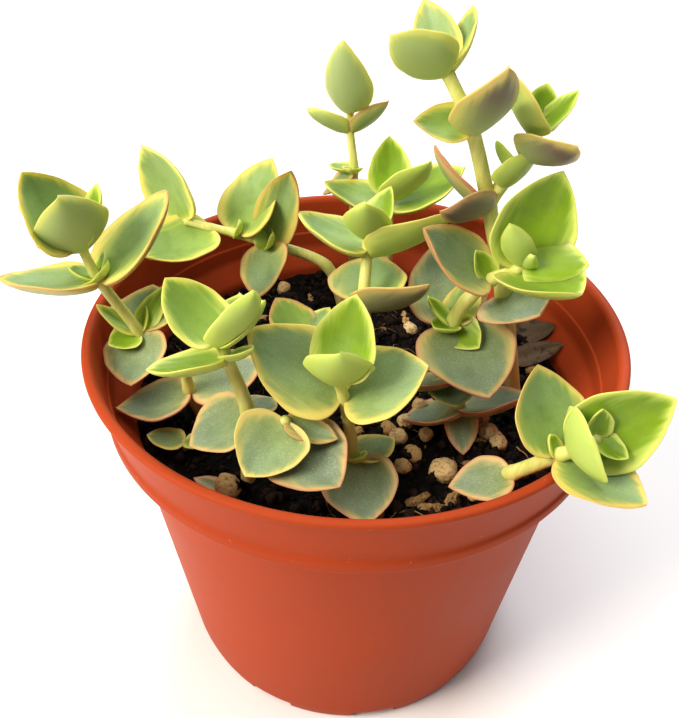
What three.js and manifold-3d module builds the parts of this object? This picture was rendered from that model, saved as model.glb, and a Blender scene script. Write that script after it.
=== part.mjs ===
// Potted Crassula pellucida: a thermoplastic nursery pot, its potting mix and the leafy shoots rooted in it.
// Millimetres, +Z up. The origin is the centre of the pot's foot, and -Y is the side that faces the viewer.
import * as THREE from "three";
import { mergeVertices } from "three/addons/utils/BufferGeometryUtils.js";
import Module from "manifold-3d";

const wasm = await Module();
wasm.setup();

// Driving dimensions of the pot
const RIM_RADIUS = 45;
const POT_HEIGHT = 72;
const WALL = 1;
const CORNER = 0.6; // how far each corner is softened
const LIP = { width: 1.2, height: 1.3, proud: 0.9 };
const BODY_TOP_RADIUS = 39.5;
const LEDGE = { drop: 13.2, step: 2.9 }; // how far below the rim the body steps in, and how far in
const BEAD = { height: 2.4, proud: 0.45 }; // raised band just above the ledge
const FOOT_RADIUS = 32.3;
const FOOT_TOP = { radius: 33.1, height: 3.5 }; // where the rounded foot meets the body
const FOOT_RING = 3.7;
const FLOOR = { underside: 1.8, thickness: 1.4 };
const PAD_RADIUS = 12; // the middle of the floor, which stands on the ground as the ring does
const POT_SIDES = 42;
const NOTCH = { count: 10, width: 8, height: 1.9, first: 11 }; // gaps in the foot ring, angle off -Y
const DRAIN = { count: 6, radius: 2.3, ring: 20, sides: 10 };

// Driving dimensions of the potting mix
const SOIL_LEVEL = 57;
const SOIL_CROWN = 1.2; // how much higher the middle of the mix is than its edge
const SOIL_RINGS = 6;
const SOIL_SIDES = 28;
const CLEARANCE = 0.3; // between pieces that touch
const ROOT_DEPTH = 8; // length of stem in the mix
const HOLE_SIDES = 9;
const STEM_ROOM = 4.5; // no grain or chip lies nearer to a stem
const EDGE_ROOM = 3; // nor nearer to the wall
const GRAIN = { count: 26, smallest: 0.9, largest: 1.7, raised: 0.25 }; // perlite, by radius
const CHIP = { count: 12, length: 4.2, width: 1.5, height: 1.1, sunk: 0.1 }; // bark

// Driving dimensions of the plant
const STEM_RADIUS = { root: 1.6, tip: 0.85 };
const STEM_SIDES = 6;
const BRANCH = 0.65; // thickness of a branch, share of its stem's
const LEAF_WIDTH = 0.8; // share of the length
const LEAF_THICKNESS = 0.12; // share of the length, at the midrib
const LEAF_LEAST_THICKNESS = 0.9;
const LEAF_TAPER = 0.5; // how much thinner the tip is than the base
const LEAF_EDGE = 0.3; // how much thinner the edge is than the midrib
const LEAF_SAG = 0.06; // share of the length
const LEAF_CUP = 0.32; // lift of the edges, share of the half width
const LEAF_BASE = 0.3; // width of the clasping base, share of the full width
const BLADE = { base: 0.6, tip: 0.95 }; // smaller is blunter
const YOUNG_LEAF = 7; // a leaf shorter than this has fewer sections
const LARGE_LEAF = 11; // and one longer than this has more points in each

const radians = THREE.MathUtils.degToRad;

// Turns a closed three.js geometry into a manifold-3d solid.
function solidOf(geometry) {
  const bare = geometry.index ? geometry.toNonIndexed() : geometry.clone();
  bare.deleteAttribute("normal");
  bare.deleteAttribute("uv");
  const merged = mergeVertices(bare, 1e-4);
  return new wasm.Manifold(
    new wasm.Mesh({
      numProp: 3,
      vertProperties: merged.getAttribute("position").array,
      triVerts: new Uint32Array(merged.index.array),
    }),
  );
}

// Turns a manifold-3d solid back into a three.js mesh with flat faces.
function meshOf(solid, name, material) {
  const { numProp, vertProperties, triVerts } = solid.getMesh();
  const points = new Float32Array((vertProperties.length / numProp) * 3);
  for (let i = 0; i < points.length / 3; i += 1) {
    points.set(vertProperties.subarray(i * numProp, i * numProp + 3), i * 3);
  }
  const geometry = new THREE.BufferGeometry();
  geometry.setAttribute("position", new THREE.BufferAttribute(points, 3));
  geometry.setIndex(new THREE.BufferAttribute(new Uint32Array(triVerts), 1));
  geometry.computeVertexNormals();
  const mesh = new THREE.Mesh(geometry, material);
  mesh.name = name;
  return mesh;
}

// Closes a row of rings, each with the same number of points, into one geometry. A fan closes each end.
function loft(rings, firstCentre, lastCentre) {
  const sides = rings[0].length;
  const points = [...rings.flat(), firstCentre, lastCentre];
  const first = rings.length * sides;
  const last = first + 1;
  const faces = [];
  for (let k = 0; k < sides; k += 1) {
    const next = (k + 1) % sides;
    faces.push(first, next, k);
    faces.push(last, (rings.length - 1) * sides + k, (rings.length - 1) * sides + next);
    for (let r = 0; r + 1 < rings.length; r += 1) {
      const a = r * sides;
      const b = a + sides;
      faces.push(a + k, a + next, b + next, a + k, b + next, b + k);
    }
  }
  const geometry = new THREE.BufferGeometry().setFromPoints(points);
  geometry.setIndex(faces);
  return geometry;
}

// Repeatable draws in 0 to 1, from a seed.
function drawsFrom(seed) {
  let state = seed;
  return () => {
    state = (state * 1664525 + 1013904223) % 4294967296;
    return state / 4294967296;
  };
}

// The pot is one lathed shell. Its profile runs up the outside, over the lip and down the inside.
function potSolid() {
  const ledge = POT_HEIGHT - LEDGE.drop;
  const collar = BODY_TOP_RADIUS + LEDGE.step;
  const beadTop = ledge + BEAD.height;
  const underLip = POT_HEIGHT - LIP.height;
  const floorTop = FLOOR.underside + FLOOR.thickness;
  const profile = [
    [0, 0],
    [PAD_RADIUS, 0],
    [PAD_RADIUS + CORNER, FLOOR.underside],
    [FOOT_RADIUS - FOOT_RING - CORNER, FLOOR.underside],
    [FOOT_RADIUS - FOOT_RING, 0],
    [FOOT_RADIUS - CORNER, 0],
    [FOOT_RADIUS, CORNER],
    [FOOT_TOP.radius, FOOT_TOP.height],
    [BODY_TOP_RADIUS, ledge - CORNER],
    [collar - CORNER, ledge],
    [collar + BEAD.proud, ledge + CORNER],
    [collar + BEAD.proud, beadTop],
    [collar, beadTop + CORNER],
    [RIM_RADIUS - LIP.proud, underLip],
    [RIM_RADIUS, underLip + CORNER / 2],
    [RIM_RADIUS, POT_HEIGHT - CORNER / 2],
    [RIM_RADIUS - CORNER / 2, POT_HEIGHT],
    [RIM_RADIUS - LIP.width, POT_HEIGHT],
    [RIM_RADIUS - LIP.width - CORNER, POT_HEIGHT - CORNER],
    [collar - WALL, beadTop + CORNER],
    [BODY_TOP_RADIUS - WALL, ledge - CORNER],
    [FOOT_TOP.radius - WALL, floorTop + CORNER],
    [FOOT_TOP.radius - WALL - CORNER, floorTop],
    [PAD_RADIUS + CORNER - WALL, floorTop],
    [PAD_RADIUS - WALL, FLOOR.thickness],
    [0, FLOOR.thickness],
  ];
  const outline = profile.map(([radius, z]) => new THREE.Vector2(radius, z));
  let solid = solidOf(new THREE.LatheGeometry(outline, POT_SIDES).rotateX(Math.PI / 2));
  for (let k = 0; k < NOTCH.count; k += 1) {
    const gap = new THREE.BoxGeometry(NOTCH.width, FOOT_RING * 4, NOTCH.height * 2);
    gap.translate(0, -FOOT_RADIUS, 0).rotateZ(radians(NOTCH.first + (360 / NOTCH.count) * k));
    solid = solid.subtract(solidOf(gap));
  }
  for (let k = 0; k < DRAIN.count; k += 1) {
    const hole = new THREE.CylinderGeometry(DRAIN.radius, DRAIN.radius, floorTop * 3, DRAIN.sides);
    hole.rotateX(Math.PI / 2).translate(0, DRAIN.ring, 0).rotateZ(radians((360 / DRAIN.count) * k));
    solid = solid.subtract(solidOf(hole));
  }
  return solid;
}

// Inner radius of the pot at a height between its floor and its ledge.
function wallRadius(z) {
  const low = FLOOR.underside + FLOOR.thickness + CORNER;
  const high = POT_HEIGHT - LEDGE.drop - CORNER;
  return THREE.MathUtils.mapLinear(z, low, high, FOOT_TOP.radius, BODY_TOP_RADIUS) - WALL;
}

// Height of the mix: lower at the wall, with soft swells from three waves.
function soilHeight(x, y) {
  const swells = 0.5 * Math.sin(0.3 * x + 1.3) * Math.sin(0.27 * y) + 0.3 * Math.sin(0.35 * x - 0.3 * y);
  const share = (x * x + y * y) / (BODY_TOP_RADIUS * BODY_TOP_RADIUS);
  return SOIL_LEVEL + SOIL_CROWN * (0.5 - share) + swells;
}

// A lump of mix: an octahedron stretched to its half sizes and turned by draws.
function lump(draw, [x, y, z], halfSizes) {
  const tilt = (draw() - 0.5) * 0.6;
  const geometry = new THREE.OctahedronGeometry(1, 0).scale(...halfSizes);
  return solidOf(geometry.rotateZ(draw() * Math.PI * 2).rotateX(tilt).translate(x, y, z));
}

// The mix fills the pot. Perlite and bark stand half out of it, and each stem has its own hole.
function soilSolid(shoots) {
  const ring = (radius, heightAt) =>
    Array.from({ length: SOIL_SIDES }, (_, k) => {
      const turn = (k / SOIL_SIDES) * Math.PI * 2;
      const x = radius * Math.cos(turn);
      const y = radius * Math.sin(turn);
      return new THREE.Vector3(x, y, heightAt(x, y));
    });
  const bottom = FLOOR.thickness + CLEARANCE;
  const floor = bottom + FLOOR.underside;
  const padRadius = PAD_RADIUS - WALL - CLEARANCE;
  const wall = floor + 2 * CORNER;
  const edge = wallRadius(SOIL_LEVEL - SOIL_CROWN) - CLEARANCE;
  const rings = [
    ring(padRadius, () => bottom),
    ring(padRadius, () => floor),
    ring(FOOT_TOP.radius - WALL - CORNER - CLEARANCE, () => floor),
    ring(wallRadius(wall) - CLEARANCE, () => wall),
  ];
  for (let r = SOIL_RINGS; r > 0; r -= 1) {
    rings.push(ring((edge * r) / SOIL_RINGS, soilHeight));
  }
  const middle = [bottom, soilHeight(0, 0)].map((z) => new THREE.Vector3(0, 0, z));
  let solid = solidOf(loft(rings, middle[0], middle[1]));
  const draw = drawsFrom(7);
  // A free spot on the mix, drawn again while it is too near a stem.
  const spot = () => {
    const radius = (edge - EDGE_ROOM) * Math.sqrt(draw());
    const turn = draw() * Math.PI * 2;
    const [x, y] = [radius * Math.cos(turn), radius * Math.sin(turn)];
    const taken = shoots.some(({ stem }) => Math.hypot(stem[0][0] - x, stem[0][1] - y) < STEM_ROOM);
    return taken ? spot() : [x, y];
  };
  for (let k = 0; k < GRAIN.count; k += 1) {
    const [x, y] = spot();
    const size = THREE.MathUtils.lerp(GRAIN.smallest, GRAIN.largest, draw());
    const place = [x, y, soilHeight(x, y) + size * GRAIN.raised];
    solid = solid.add(lump(draw, place, [size, size * 0.85, size * 0.8]));
  }
  for (let k = 0; k < CHIP.count; k += 1) {
    const [x, y] = spot();
    const halfSizes = [CHIP.length / 2, CHIP.width / 2, CHIP.height / 2];
    solid = solid.add(lump(draw, [x, y, soilHeight(x, y) - CHIP.sunk], halfSizes));
  }
  for (const { stem, thickness } of shoots) {
    const radius = (STEM_RADIUS.root * thickness + CLEARANCE) / Math.cos(Math.PI / HOLE_SIDES);
    const hole = new THREE.CylinderGeometry(radius, radius, ROOT_DEPTH * 2, HOLE_SIDES);
    hole.rotateX(Math.PI / 2).translate(stem[0][0], stem[0][1], SOIL_LEVEL - CLEARANCE);
    solid = solid.subtract(solidOf(hole));
  }
  return solid;
}

// Half width of a leaf at a share t of its length, as a share of its largest half width.
// It leaves a clasping base, is widest before the middle and runs out to a point.
function leafOutline(t) {
  const blade = t ** BLADE.base * (1 - t) ** BLADE.tip;
  const at = BLADE.base / (BLADE.base + BLADE.tip);
  const fullest = at ** BLADE.base * (1 - at) ** BLADE.tip;
  return LEAF_BASE * (1 - t) ** 4 + blade / fullest;
}

// A leaf is a thick blade: each section is a cupped arc above and a fuller belly below, from edge to edge.
// heading is degrees from +X and rise is degrees above level, both from its base to its tip.
// The midrib sags below that line by a share of the length.
function leafSolid(place, grow, { heading, rise, length, width = LEAF_WIDTH, roll = 0, sag = LEAF_SAG }) {
  const along = new THREE.Vector3(
    Math.cos(radians(rise)) * Math.cos(radians(heading)),
    Math.cos(radians(rise)) * Math.sin(radians(heading)),
    Math.sin(radians(rise)),
  );
  const up = grow.clone().addScaledVector(along, -grow.dot(along)).normalize();
  up.applyAxisAngle(along, radians(roll));
  const across = new THREE.Vector3().crossVectors(along, up);
  const stations = length < YOUNG_LEAF ? [0, 0.35, 0.75] : [0, 0.2, 0.5, 0.8];
  const above = length < LARGE_LEAF ? [-1, 0, 1] : [-1, -0.5, 0, 0.5, 1];
  const below = length < LARGE_LEAF ? [0] : [0.5, -0.5];
  const halfWidth = (length * width) / 2;
  const thick = Math.max(LEAF_LEAST_THICKNESS, length * LEAF_THICKNESS);
  const spine = (t) =>
    place
      .clone()
      .addScaledVector(along, length * t)
      .addScaledVector(up, -4 * sag * length * t * (1 - t));
  const rings = stations.map((t) => {
    const half = halfWidth * leafOutline(t);
    const depth = thick * (1 - LEAF_TAPER * t);
    const lift = (s) => LEAF_CUP * half * s * s;
    const point = (s, drop) =>
      spine(t)
        .addScaledVector(across, half * s)
        .addScaledVector(up, lift(s) - drop);
    return [...above.map((s) => point(s, 0)), ...below.map((s) => point(s, depth * (1 - LEAF_EDGE * s * s)))];
  });
  return solidOf(loft(rings, spine(0).addScaledVector(up, -thick / 3), spine(1)));
}

// A stem runs through its nodes and thins towards its tip.
function stemSolid(path, thickness) {
  const last = path.length - 1;
  const side = new THREE.Vector3(1, 0, 0);
  const rings = path.map((centre, k) => {
    const heading = path[Math.min(k + 1, last)].clone().sub(path[Math.max(k - 1, 0)]).normalize();
    const normal = side.clone().addScaledVector(heading, -side.dot(heading)).normalize();
    const binormal = new THREE.Vector3().crossVectors(heading, normal);
    const radius = thickness * THREE.MathUtils.lerp(STEM_RADIUS.root, STEM_RADIUS.tip, k / last);
    return Array.from({ length: STEM_SIDES }, (_, n) => {
      const turn = (n / STEM_SIDES) * Math.PI * 2;
      return centre
        .clone()
        .addScaledVector(normal, radius * Math.cos(turn))
        .addScaledVector(binormal, radius * Math.sin(turn));
    });
  });
  return solidOf(loft(rings, path[0], path[last]));
}

// Each shoot: the nodes of its stem from the root up, in mm, then its leaves.
// A leaf is [node, heading, rise, length, more]: heading is degrees from +X, rise is degrees above level.
// Two leaves stand opposite each other at a node, and the next pair is turned a quarter round.
const SHOOTS = [
  {
    name: "shoot_left",
    stem: [[-31.5, -3, 57], [-35.8, -5, 71], [-41, -5, 81.3], [-42.5, -5, 87]],
    thickness: 0.85,
    leaves: [
      [1, 175, 36, 8, { width: 0.45 }],
      [1, 30, 55, 9.2, { width: 0.45, roll: 40 }],
      [1, 60, 60, 4.6, { width: 0.6 }],
      [1, -145, -6, 5.4, { width: 1.05, roll: -20 }],
      [1, 80, 30, 8.8, { width: 1.45 }],
      [1, -88, -24, 10, { width: 1.12 }],
      [2, -160, 10, 14.3, {}],
      [2, 38, 40, 17.6, { width: 0.7, roll: 15 }],
      [2, -170, 30, 4.6, { width: 1 }],
      [2, 60, 60, 4.4, { width: 1 }],
      [2, -110, 15, 4.6, { width: 1 }],
      [2, -20, 55, 4.4, { width: 1 }],
      [3, 168, 57, 13.4, { width: 0.95 }],
      [3, -92, 68, 11.4, { width: 0.98 }],
      [3, 63, 56, 9.8, { width: 0.65 }],
      [3, -179, 40, 10.5, { width: 0.5 }],
    ],
  },
  {
    name: "shoot_left_low",
    stem: [[-26, -9, 57], [-27, -11, 64], [-27, -12, 68.5]],
    thickness: 1,
    leaves: [
      [1, -161, -5, 12.3, { roll: 15, sag: 0.12 }],
      [1, 20, 15, 13, {}],
      [2, 10, 25, 4, { width: 0.7 }],
    ],
  },
  {
    name: "shoot_front_left",
    stem: [[-16, -24, 57], [-15.5, -23, 71], [-18, -23, 81], [-18.5, -23, 83.5]],
    thickness: 0.9,
    leaves: [
      [1, -152, -22, 10, { width: 1.18 }],
      [1, 60, -20, 7, {}],
      [2, -160, 0, 11, { roll: 15 }],
      [2, -30, 35, 6, { roll: -20 }],
      [3, 150, 38, 11.5, {}],
      [3, 10, 45, 9, {}],
      [3, 80, 15, 9, {}],
      [3, -30, 60, 12.5, { width: 0.6, roll: -25 }],
    ],
  },
  {
    name: "shoot_front_low",
    stem: [[-9, -24, 57], [-10, -26, 69.5], [-9.4, -26.4, 72.4]],
    thickness: 0.85,
    leaves: [
      [2, -120, -17, 10.3, { width: 1.02 }],
      [1, -45, -8, 12.5, { width: 1 }],
      [2, -10, -15, 8, { width: 0.65 }],
    ],
  },
  {
    name: "shoot_front_middle",
    stem: [[1, -23, 57], [0.5, -23, 62], [-1.3, -23, 74], [-2.2, -24, 78]],
    thickness: 0.85,
    leaves: [
      [1, -78, -10, 12, { width: 0.95 }],
      [1, 40, -4, 8.3, {}],
      [1, -60, 45, 4, {}],
      [2, 165, 32, 17, { width: 0.76, roll: -25 }],
      [2, 0, 29, 13.5, { width: 0.98, roll: 12 }],
      [3, 70, 60, 12.5, { width: 0.78 }],
      [3, -85, 66, 8.5, { width: 1.15, roll: -57 }],
    ],
  },
  {
    name: "shoot_middle",
    stem: [[3.5, 1, 57], [1.2, -1.3, 76], [1.5, 3.2, 83.6], [1.5, 3.6, 85.9]],
    thickness: 0.9,
    leaves: [
      [1, -33, 35, 14.2, { width: 0.74, roll: -46 }],
      [1, 82, 11, 12, { width: 1.05 }],
      [2, 168, 22, 12.5, { roll: -30 }],
      [2, 2, 26, 14.5, { width: 0.7, roll: -12 }],
      [3, -98, 58, 10, { width: 0.76 }],
      [3, 50, 52, 8.4, { width: 0.82 }],
    ],
  },
  {
    name: "shoot_back",
    stem: [[6, 28, 57], [5.5, 27, 79], [5.5, 27, 81]],
    thickness: 0.9,
    leaves: [
      [1, 15, 25, 16, {}],
      [1, 175, 17, 13, {}],
      [2, 95, 60, 11, { width: 0.72 }],
      [2, -35, 50, 12.6, { width: 0.72, roll: -20 }],
    ],
  },
  {
    name: "shoot_back_thin",
    stem: [[-1, 35, 57], [-1.5, 35.5, 82.5], [-2.5, 36.5, 90], [-2.5, 37, 93.5]],
    thickness: 0.75,
    leaves: [
      [1, 180, 5, 5, {}],
      [1, -99, 22, 5, {}],
      [1, -155, -35, 8, { width: 0.6 }],
      [2, 175, 22, 9, { width: 0.6, roll: 45 }],
      [2, 13, 35, 9, { width: 0.6, roll: -45 }],
      [3, -130, 80, 13.5, { width: 0.68 }],
      [3, 80, 60, 9, {}],
    ],
  },
  {
    name: "shoot_back_left",
    stem: [
      [-2, 20, 57], [-6, 20, 69.5], [-17, 20, 74],
      [-23, 20.4, 75.6], [-27.5, 20.4, 76.6], [-32.3, 21, 77.5],
    ],
    thickness: 0.8,
    leaves: [
      [3, 50, 50, 15.5, { width: 0.9, roll: 45 }],
      [2, -31, 71, 17, { width: 0.5, roll: 70 }],
      [2, -95, -25, 12, { roll: -45 }],
      [5, 154, 57, 15.5, { width: 0.9, roll: 55 }],
      [4, -140, -5, 14, { width: 0.9, roll: -75 }],
      [3, -60, 60, 4, { width: 0.9 }],
      [2, -70, 50, 4.5, { width: 0.9 }],
      [2, -150, 40, 4, { width: 0.9 }],
    ],
  },
  {
    name: "shoot_tall",
    stem: [[28.5, -1, 57], [24, 0.2, 78], [20, 3, 92.2], [15.5, 1.5, 105.5], [11.2, 2.5, 113]],
    thickness: 1.1,
    leaves: [
      [1, -68, 14, 11, { width: 1.22, roll: 15 }],
      [2, -145, 10, 10, { roll: 40 }],
      [2, 175, 45, 13, { width: 0.5 }],
      [3, -75, 50, 15, { width: 0.6, roll: -25 }],
      [3, -175, 5, 8.5, { roll: -25 }],
      [4, -155, 32, 10.6, { width: 0.8, roll: 25 }],
      [4, 112, 38, 11.5, { width: 0.6 }],
      [4, 60, 44, 10, { width: 0.62 }],
    ],
    branch: {
      from: 2,
      stem: [[21.5, 3, 95.7], [23, 3.3, 98.2], [24.5, 3.6, 100.6], [25.7, 4, 104]],
      leaves: [
        [1, -20, 58, 7.2, { width: 0.95 }],
        [2, 145, 46, 5, { width: 0.75, roll: 30 }],
        [3, -55, 26, 10.5, { width: 0.9 }],
        [4, -160, 58, 12, { width: 0.75 }],
        [4, 75, 45, 7.5, {}],
        [4, 20, 45, 8, { width: 0.6 }],
      ],
    },
  },
  {
    name: "shoot_right",
    stem: [[17, -3, 57], [16, -3, 73.5], [17.6, -3.6, 78.5], [21, -4, 83], [24, -6, 86], [24.9, -6, 87.3]],
    thickness: 0.95,
    leaves: [
      [1, 102, 29, 15.3, { width: 0.86 }],
      [1, -71, -12, 15.6, { width: 1 }],
      [1, 165, 45, 6.5, { width: 0.55 }],
      [1, 60, 38, 8.5, { width: 0.75 }],
      [1, -52, -8, 6.5, { width: 0.9, roll: 30 }],
      [1, -135, 18, 5, { width: 1 }],
      [3, -178, 38, 14.5, { width: 0.8, roll: -14 }],
      [3, 158, 55, 5.5, { width: 0.78, roll: -40 }],
      [4, 40, 65, 16, { width: 0.78, roll: -35 }],
      [4, -53, 12, 12.5, { width: 1.1, roll: 25 }],
      [5, -165, 65, 8, { width: 0.62, roll: 70 }],
      [5, -15, 10, 9.5, { width: 0.95, roll: 45 }],
      [5, 80, 55, 3.6, { width: 1 }],
      [5, -60, 50, 3.4, { width: 1 }],
    ],
  },
  {
    name: "shoot_right_low",
    stem: [[18, -9, 57], [18, -10, 61.5], [16.5, -8, 66.5]],
    thickness: 0.8,
    leaves: [
      [1, -5, 22, 11.5, { width: 1.2, roll: -38 }],
      [1, -170, -10, 10, { width: 1.2, roll: 38 }],
      [1, -88, -26, 8.4, { width: 0.65 }],
      [2, -88, -4, 7, { width: 1.25 }],
      [2, -158, 4, 10, { width: 0.75 }],
    ],
  },
  {
    name: "shoot_over_rim",
    stem: [[22, -22, 57], [23.5, -28.5, 65.5], [28, -33, 74], [29.5, -33.5, 75.5], [32.3, -33.4, 77.8]],
    thickness: 0.9,
    leaves: [
      [1, -170, -10, 9.5, { roll: 35 }],
      [2, 150, 60, 3.5, {}],
      [2, 110, 45, 12.5, { width: 1.05 }],
      [2, -35, -5, 12.5, { sag: 0.02 }],
      [3, 5, 37, 14.5, { width: 0.75 }],
      [3, -84, 58, 7.6, { width: 1.36, roll: 7 }],
      [4, -40, -8, 4.5, { width: 0.85, roll: 45 }],
      [4, 100, 80, 4.5, { width: 0.85, roll: -70 }],
    ],
  },
  {
    name: "shoot_small",
    stem: [[-9, -5, 57], [-8.5, -7.5, 72.5]],
    thickness: 0.7,
    leaves: [
      [1, 138, 40, 8, { width: 1 }],
      [1, 45, 30, 7, { width: 0.7 }],
      [1, 10, 15, 7, { width: 0.7 }],
    ],
  },
  {
    name: "seedling",
    stem: [[-27, -18, 57], [-27, -18, 59]],
    thickness: 0.5,
    leaves: [
      [1, 178, 8, 6.2, {}],
      [1, -10, 12, 4.5, {}],
    ],
  },
];

// Colours of the pieces
const terracotta = new THREE.MeshStandardMaterial({ color: 0xc8552f, roughness: 0.45, metalness: 0 });
const pottingMix = new THREE.MeshStandardMaterial({ color: 0x2b1f16, roughness: 0.95, metalness: 0 });
const leafGreen = new THREE.MeshStandardMaterial({ color: 0x86a85a, roughness: 0.5, metalness: 0 });

// One stretch of stem with its leaves. Each leaf faces the way that the stem grows as it reaches its node.
function sprigSolid(nodes, thickness, leaves) {
  let solid = stemSolid(nodes, thickness);
  for (const [node, heading, rise, length, more] of leaves) {
    const grow = nodes[node].clone().sub(nodes[node - 1]).normalize();
    solid = solid.add(leafSolid(nodes[node], grow, { heading, rise, length, ...more }));
  }
  return solid;
}

const vectors = (rows) => rows.map(([x, y, z]) => new THREE.Vector3(x, y, z));

// The largest body of a solid. A hollow that the joined leaves seal is filled by it.
function largestBody(solid) {
  return solid.decompose().reduce((kept, body) => (body.volume() > kept.volume() ? body : kept));
}

// A shoot stands in its hole in the mix, and may carry one branch.
function shootSolid({ stem, thickness, leaves, branch }) {
  const nodes = vectors(stem);
  const buried = [ROOT_DEPTH, ROOT_DEPTH / 8].map((depth) => nodes[0].clone().setZ(SOIL_LEVEL - depth));
  const shifted = leaves.map(([node, ...rest]) => [node + buried.length, ...rest]);
  let solid = sprigSolid([...buried, ...nodes], thickness, shifted);
  if (branch) {
    const start = nodes[branch.from];
    solid = solid.add(sprigSolid([start, ...vectors(branch.stem)], thickness * BRANCH, branch.leaves));
  }
  return largestBody(solid);
}

const part = new THREE.Group();
part.add(meshOf(potSolid(), "pot", terracotta));
part.add(meshOf(soilSolid(SHOOTS), "potting_mix", pottingMix));
for (const shoot of SHOOTS) {
  part.add(meshOf(shootSolid(shoot), shoot.name, leafGreen));
}

export default part;
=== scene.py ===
# %% [markdown]
# A potted Crassula pellucida: a thin plastic nursery pot, a dark potting mix and fifteen leafy shoots.
# The CAD model is the frame. Every shape here is worked out in millimetres in the CAD's own coordinates,
# with +Z up along the pot's axis and -Y towards the viewer, and is put into the mesh in metres.
# So a fine piece lies over its plain CAD solid with no fitting, and then stands in for it.

import bpy
import numpy as np
from mathutils import Matrix, Vector


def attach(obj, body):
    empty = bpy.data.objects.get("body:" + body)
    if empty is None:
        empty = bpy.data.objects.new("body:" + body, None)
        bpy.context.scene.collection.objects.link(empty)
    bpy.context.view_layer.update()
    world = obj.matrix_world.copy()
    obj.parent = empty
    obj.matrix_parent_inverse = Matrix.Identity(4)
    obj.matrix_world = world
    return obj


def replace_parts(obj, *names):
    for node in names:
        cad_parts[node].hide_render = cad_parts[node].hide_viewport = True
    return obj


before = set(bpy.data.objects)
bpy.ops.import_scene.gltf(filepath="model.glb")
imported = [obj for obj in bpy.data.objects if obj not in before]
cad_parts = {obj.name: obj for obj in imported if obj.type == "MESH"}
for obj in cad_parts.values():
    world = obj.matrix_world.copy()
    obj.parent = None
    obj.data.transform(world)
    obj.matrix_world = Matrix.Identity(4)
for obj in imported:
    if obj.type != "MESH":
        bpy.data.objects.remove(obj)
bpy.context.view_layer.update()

MM = 0.001  # shapes are worked out in mm, and the mesh is in metres

# %% [markdown]
# Colours are written as the sRGB hex values that an eye or a colour picker gives, and one function turns
# them to the linear light that shaders add up. One more adds a node with its settings and links. Short
# helpers built on it name the steps that every material takes, so each one reads from top to bottom like
# a recipe.

# %% Colours and nodes
def linear(hex_colour):
    """sRGB to linear light: a channel below 0.04045 is divided by 12.92, the rest follow a 2.4 power."""
    channel = np.array([int(hex_colour[k : k + 2], 16) for k in (1, 3, 5)]) / 255
    light = np.where(channel <= 0.04045, channel / 12.92, ((channel + 0.055) / 1.055) ** 2.4)
    return (*light.tolist(), 1.0)


def add_node(tree, kind, inputs=None, stops=(), **settings):
    """Adds a node. settings are its properties, stops fill a colour ramp, and each input is a value
    or another node's output."""
    node = tree.nodes.new("ShaderNode" + kind)
    for key, value in settings.items():
        setattr(node, key, value)
    for k, (place, colour) in enumerate(stops):
        ramp = node.color_ramp.elements
        stop = ramp[k] if k < 2 else ramp.new(place)
        stop.position = place
        stop.color = linear(colour)
    for socket, value in (inputs or {}).items():
        if isinstance(value, bpy.types.NodeSocket):
            tree.links.new(value, node.inputs[socket])
        else:
            node.inputs[socket].default_value = value
    return node


def new_material(name):
    """An empty material, and its node tree to fill."""
    material = bpy.data.materials.new(name)
    material.use_nodes = True
    material.node_tree.nodes.clear()
    print("material:", name)
    return material, material.node_tree


def place_in_mm(tree):
    """The point being coloured, in the piece's own frame and in mm."""
    place = add_node(tree, "TexCoord").outputs["Object"]
    return add_node(tree, "VectorMath", {0: place, "Scale": 1 / MM}, operation="SCALE").outputs[0]


def mark(tree, name):
    """The three numbers of a mark that the mesh keeps at each point."""
    stored = add_node(tree, "Attribute", attribute_name=name).outputs["Vector"]
    return add_node(tree, "SeparateXYZ", {0: stored}).outputs


def noise(tree, vector, scale, detail=2.0, roughness=0.5):
    """Cloudy noise from 0 to 1, with `scale` lumps to each unit of the vector."""
    inputs = {"Vector": vector, "Scale": scale, "Detail": detail, "Roughness": roughness}
    return add_node(tree, "TexNoise", inputs).outputs["Fac"]


def calc(tree, a, operation, b):
    """a and b multiplied, divided or added."""
    return add_node(tree, "Math", {0: a, 1: b}, operation=operation).outputs[0]


def remap(tree, value, low, high, to_low=0.0, to_high=1.0, kind="LINEAR"):
    """A value from low to high, moved to to_low to to_high and kept between them. low may be the larger
    one, which turns the range round."""
    inputs = {"Value": value, "From Min": low, "From Max": high, "To Min": to_low, "To Max": to_high}
    return add_node(tree, "MapRange", inputs, interpolation_type=kind).outputs[0]


def blend(tree, share, under, over):
    """under (1 - share) + over share. Each colour is a hex value or another node's output."""
    under, over = (linear(colour) if isinstance(colour, str) else colour for colour in (under, over))
    return add_node(tree, "Mix", {0: share, 6: under, 7: over}, data_type="RGBA").outputs[2]


def by_stops(tree, value, stops):
    """The colour of a ramp at the value. A stop is a place from 0 to 1 and a hex value."""
    return add_node(tree, "ValToRGB", {0: value}, stops=stops).outputs[0]


def relief(tree, height, strength, depth):
    """A normal tilted as if the surface rose and fell by depth mm."""
    inputs = {"Strength": strength, "Distance": depth * MM, "Height": height}
    return add_node(tree, "Bump", inputs).outputs[0]


def close_material(tree, inputs):
    """Ends a recipe: one principled surface with these inputs, joined to the output."""
    surface = add_node(tree, "BsdfPrincipled", inputs)
    add_node(tree, "OutputMaterial", {"Surface": surface.outputs[0]})


# %% [markdown]
# Most natural pieces here are closed sleeves: rings of points one after another, with a fan at each end.
# A leaf is such a sleeve whose ring is a flat cushion shape, a stem is one with round rings, and a grain
# of perlite is one whose rings grow and shrink like the parallels of a globe. The faces depend only on how
# many rings and columns there are, so one function gives them for every piece.

# %% Closed sleeves
def polar(radius, angle, height):
    """Points at a radius and an angle about Z, and at a height."""
    return np.stack([radius * np.cos(angle), radius * np.sin(angle), height + 0 * angle], axis=-1)


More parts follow.
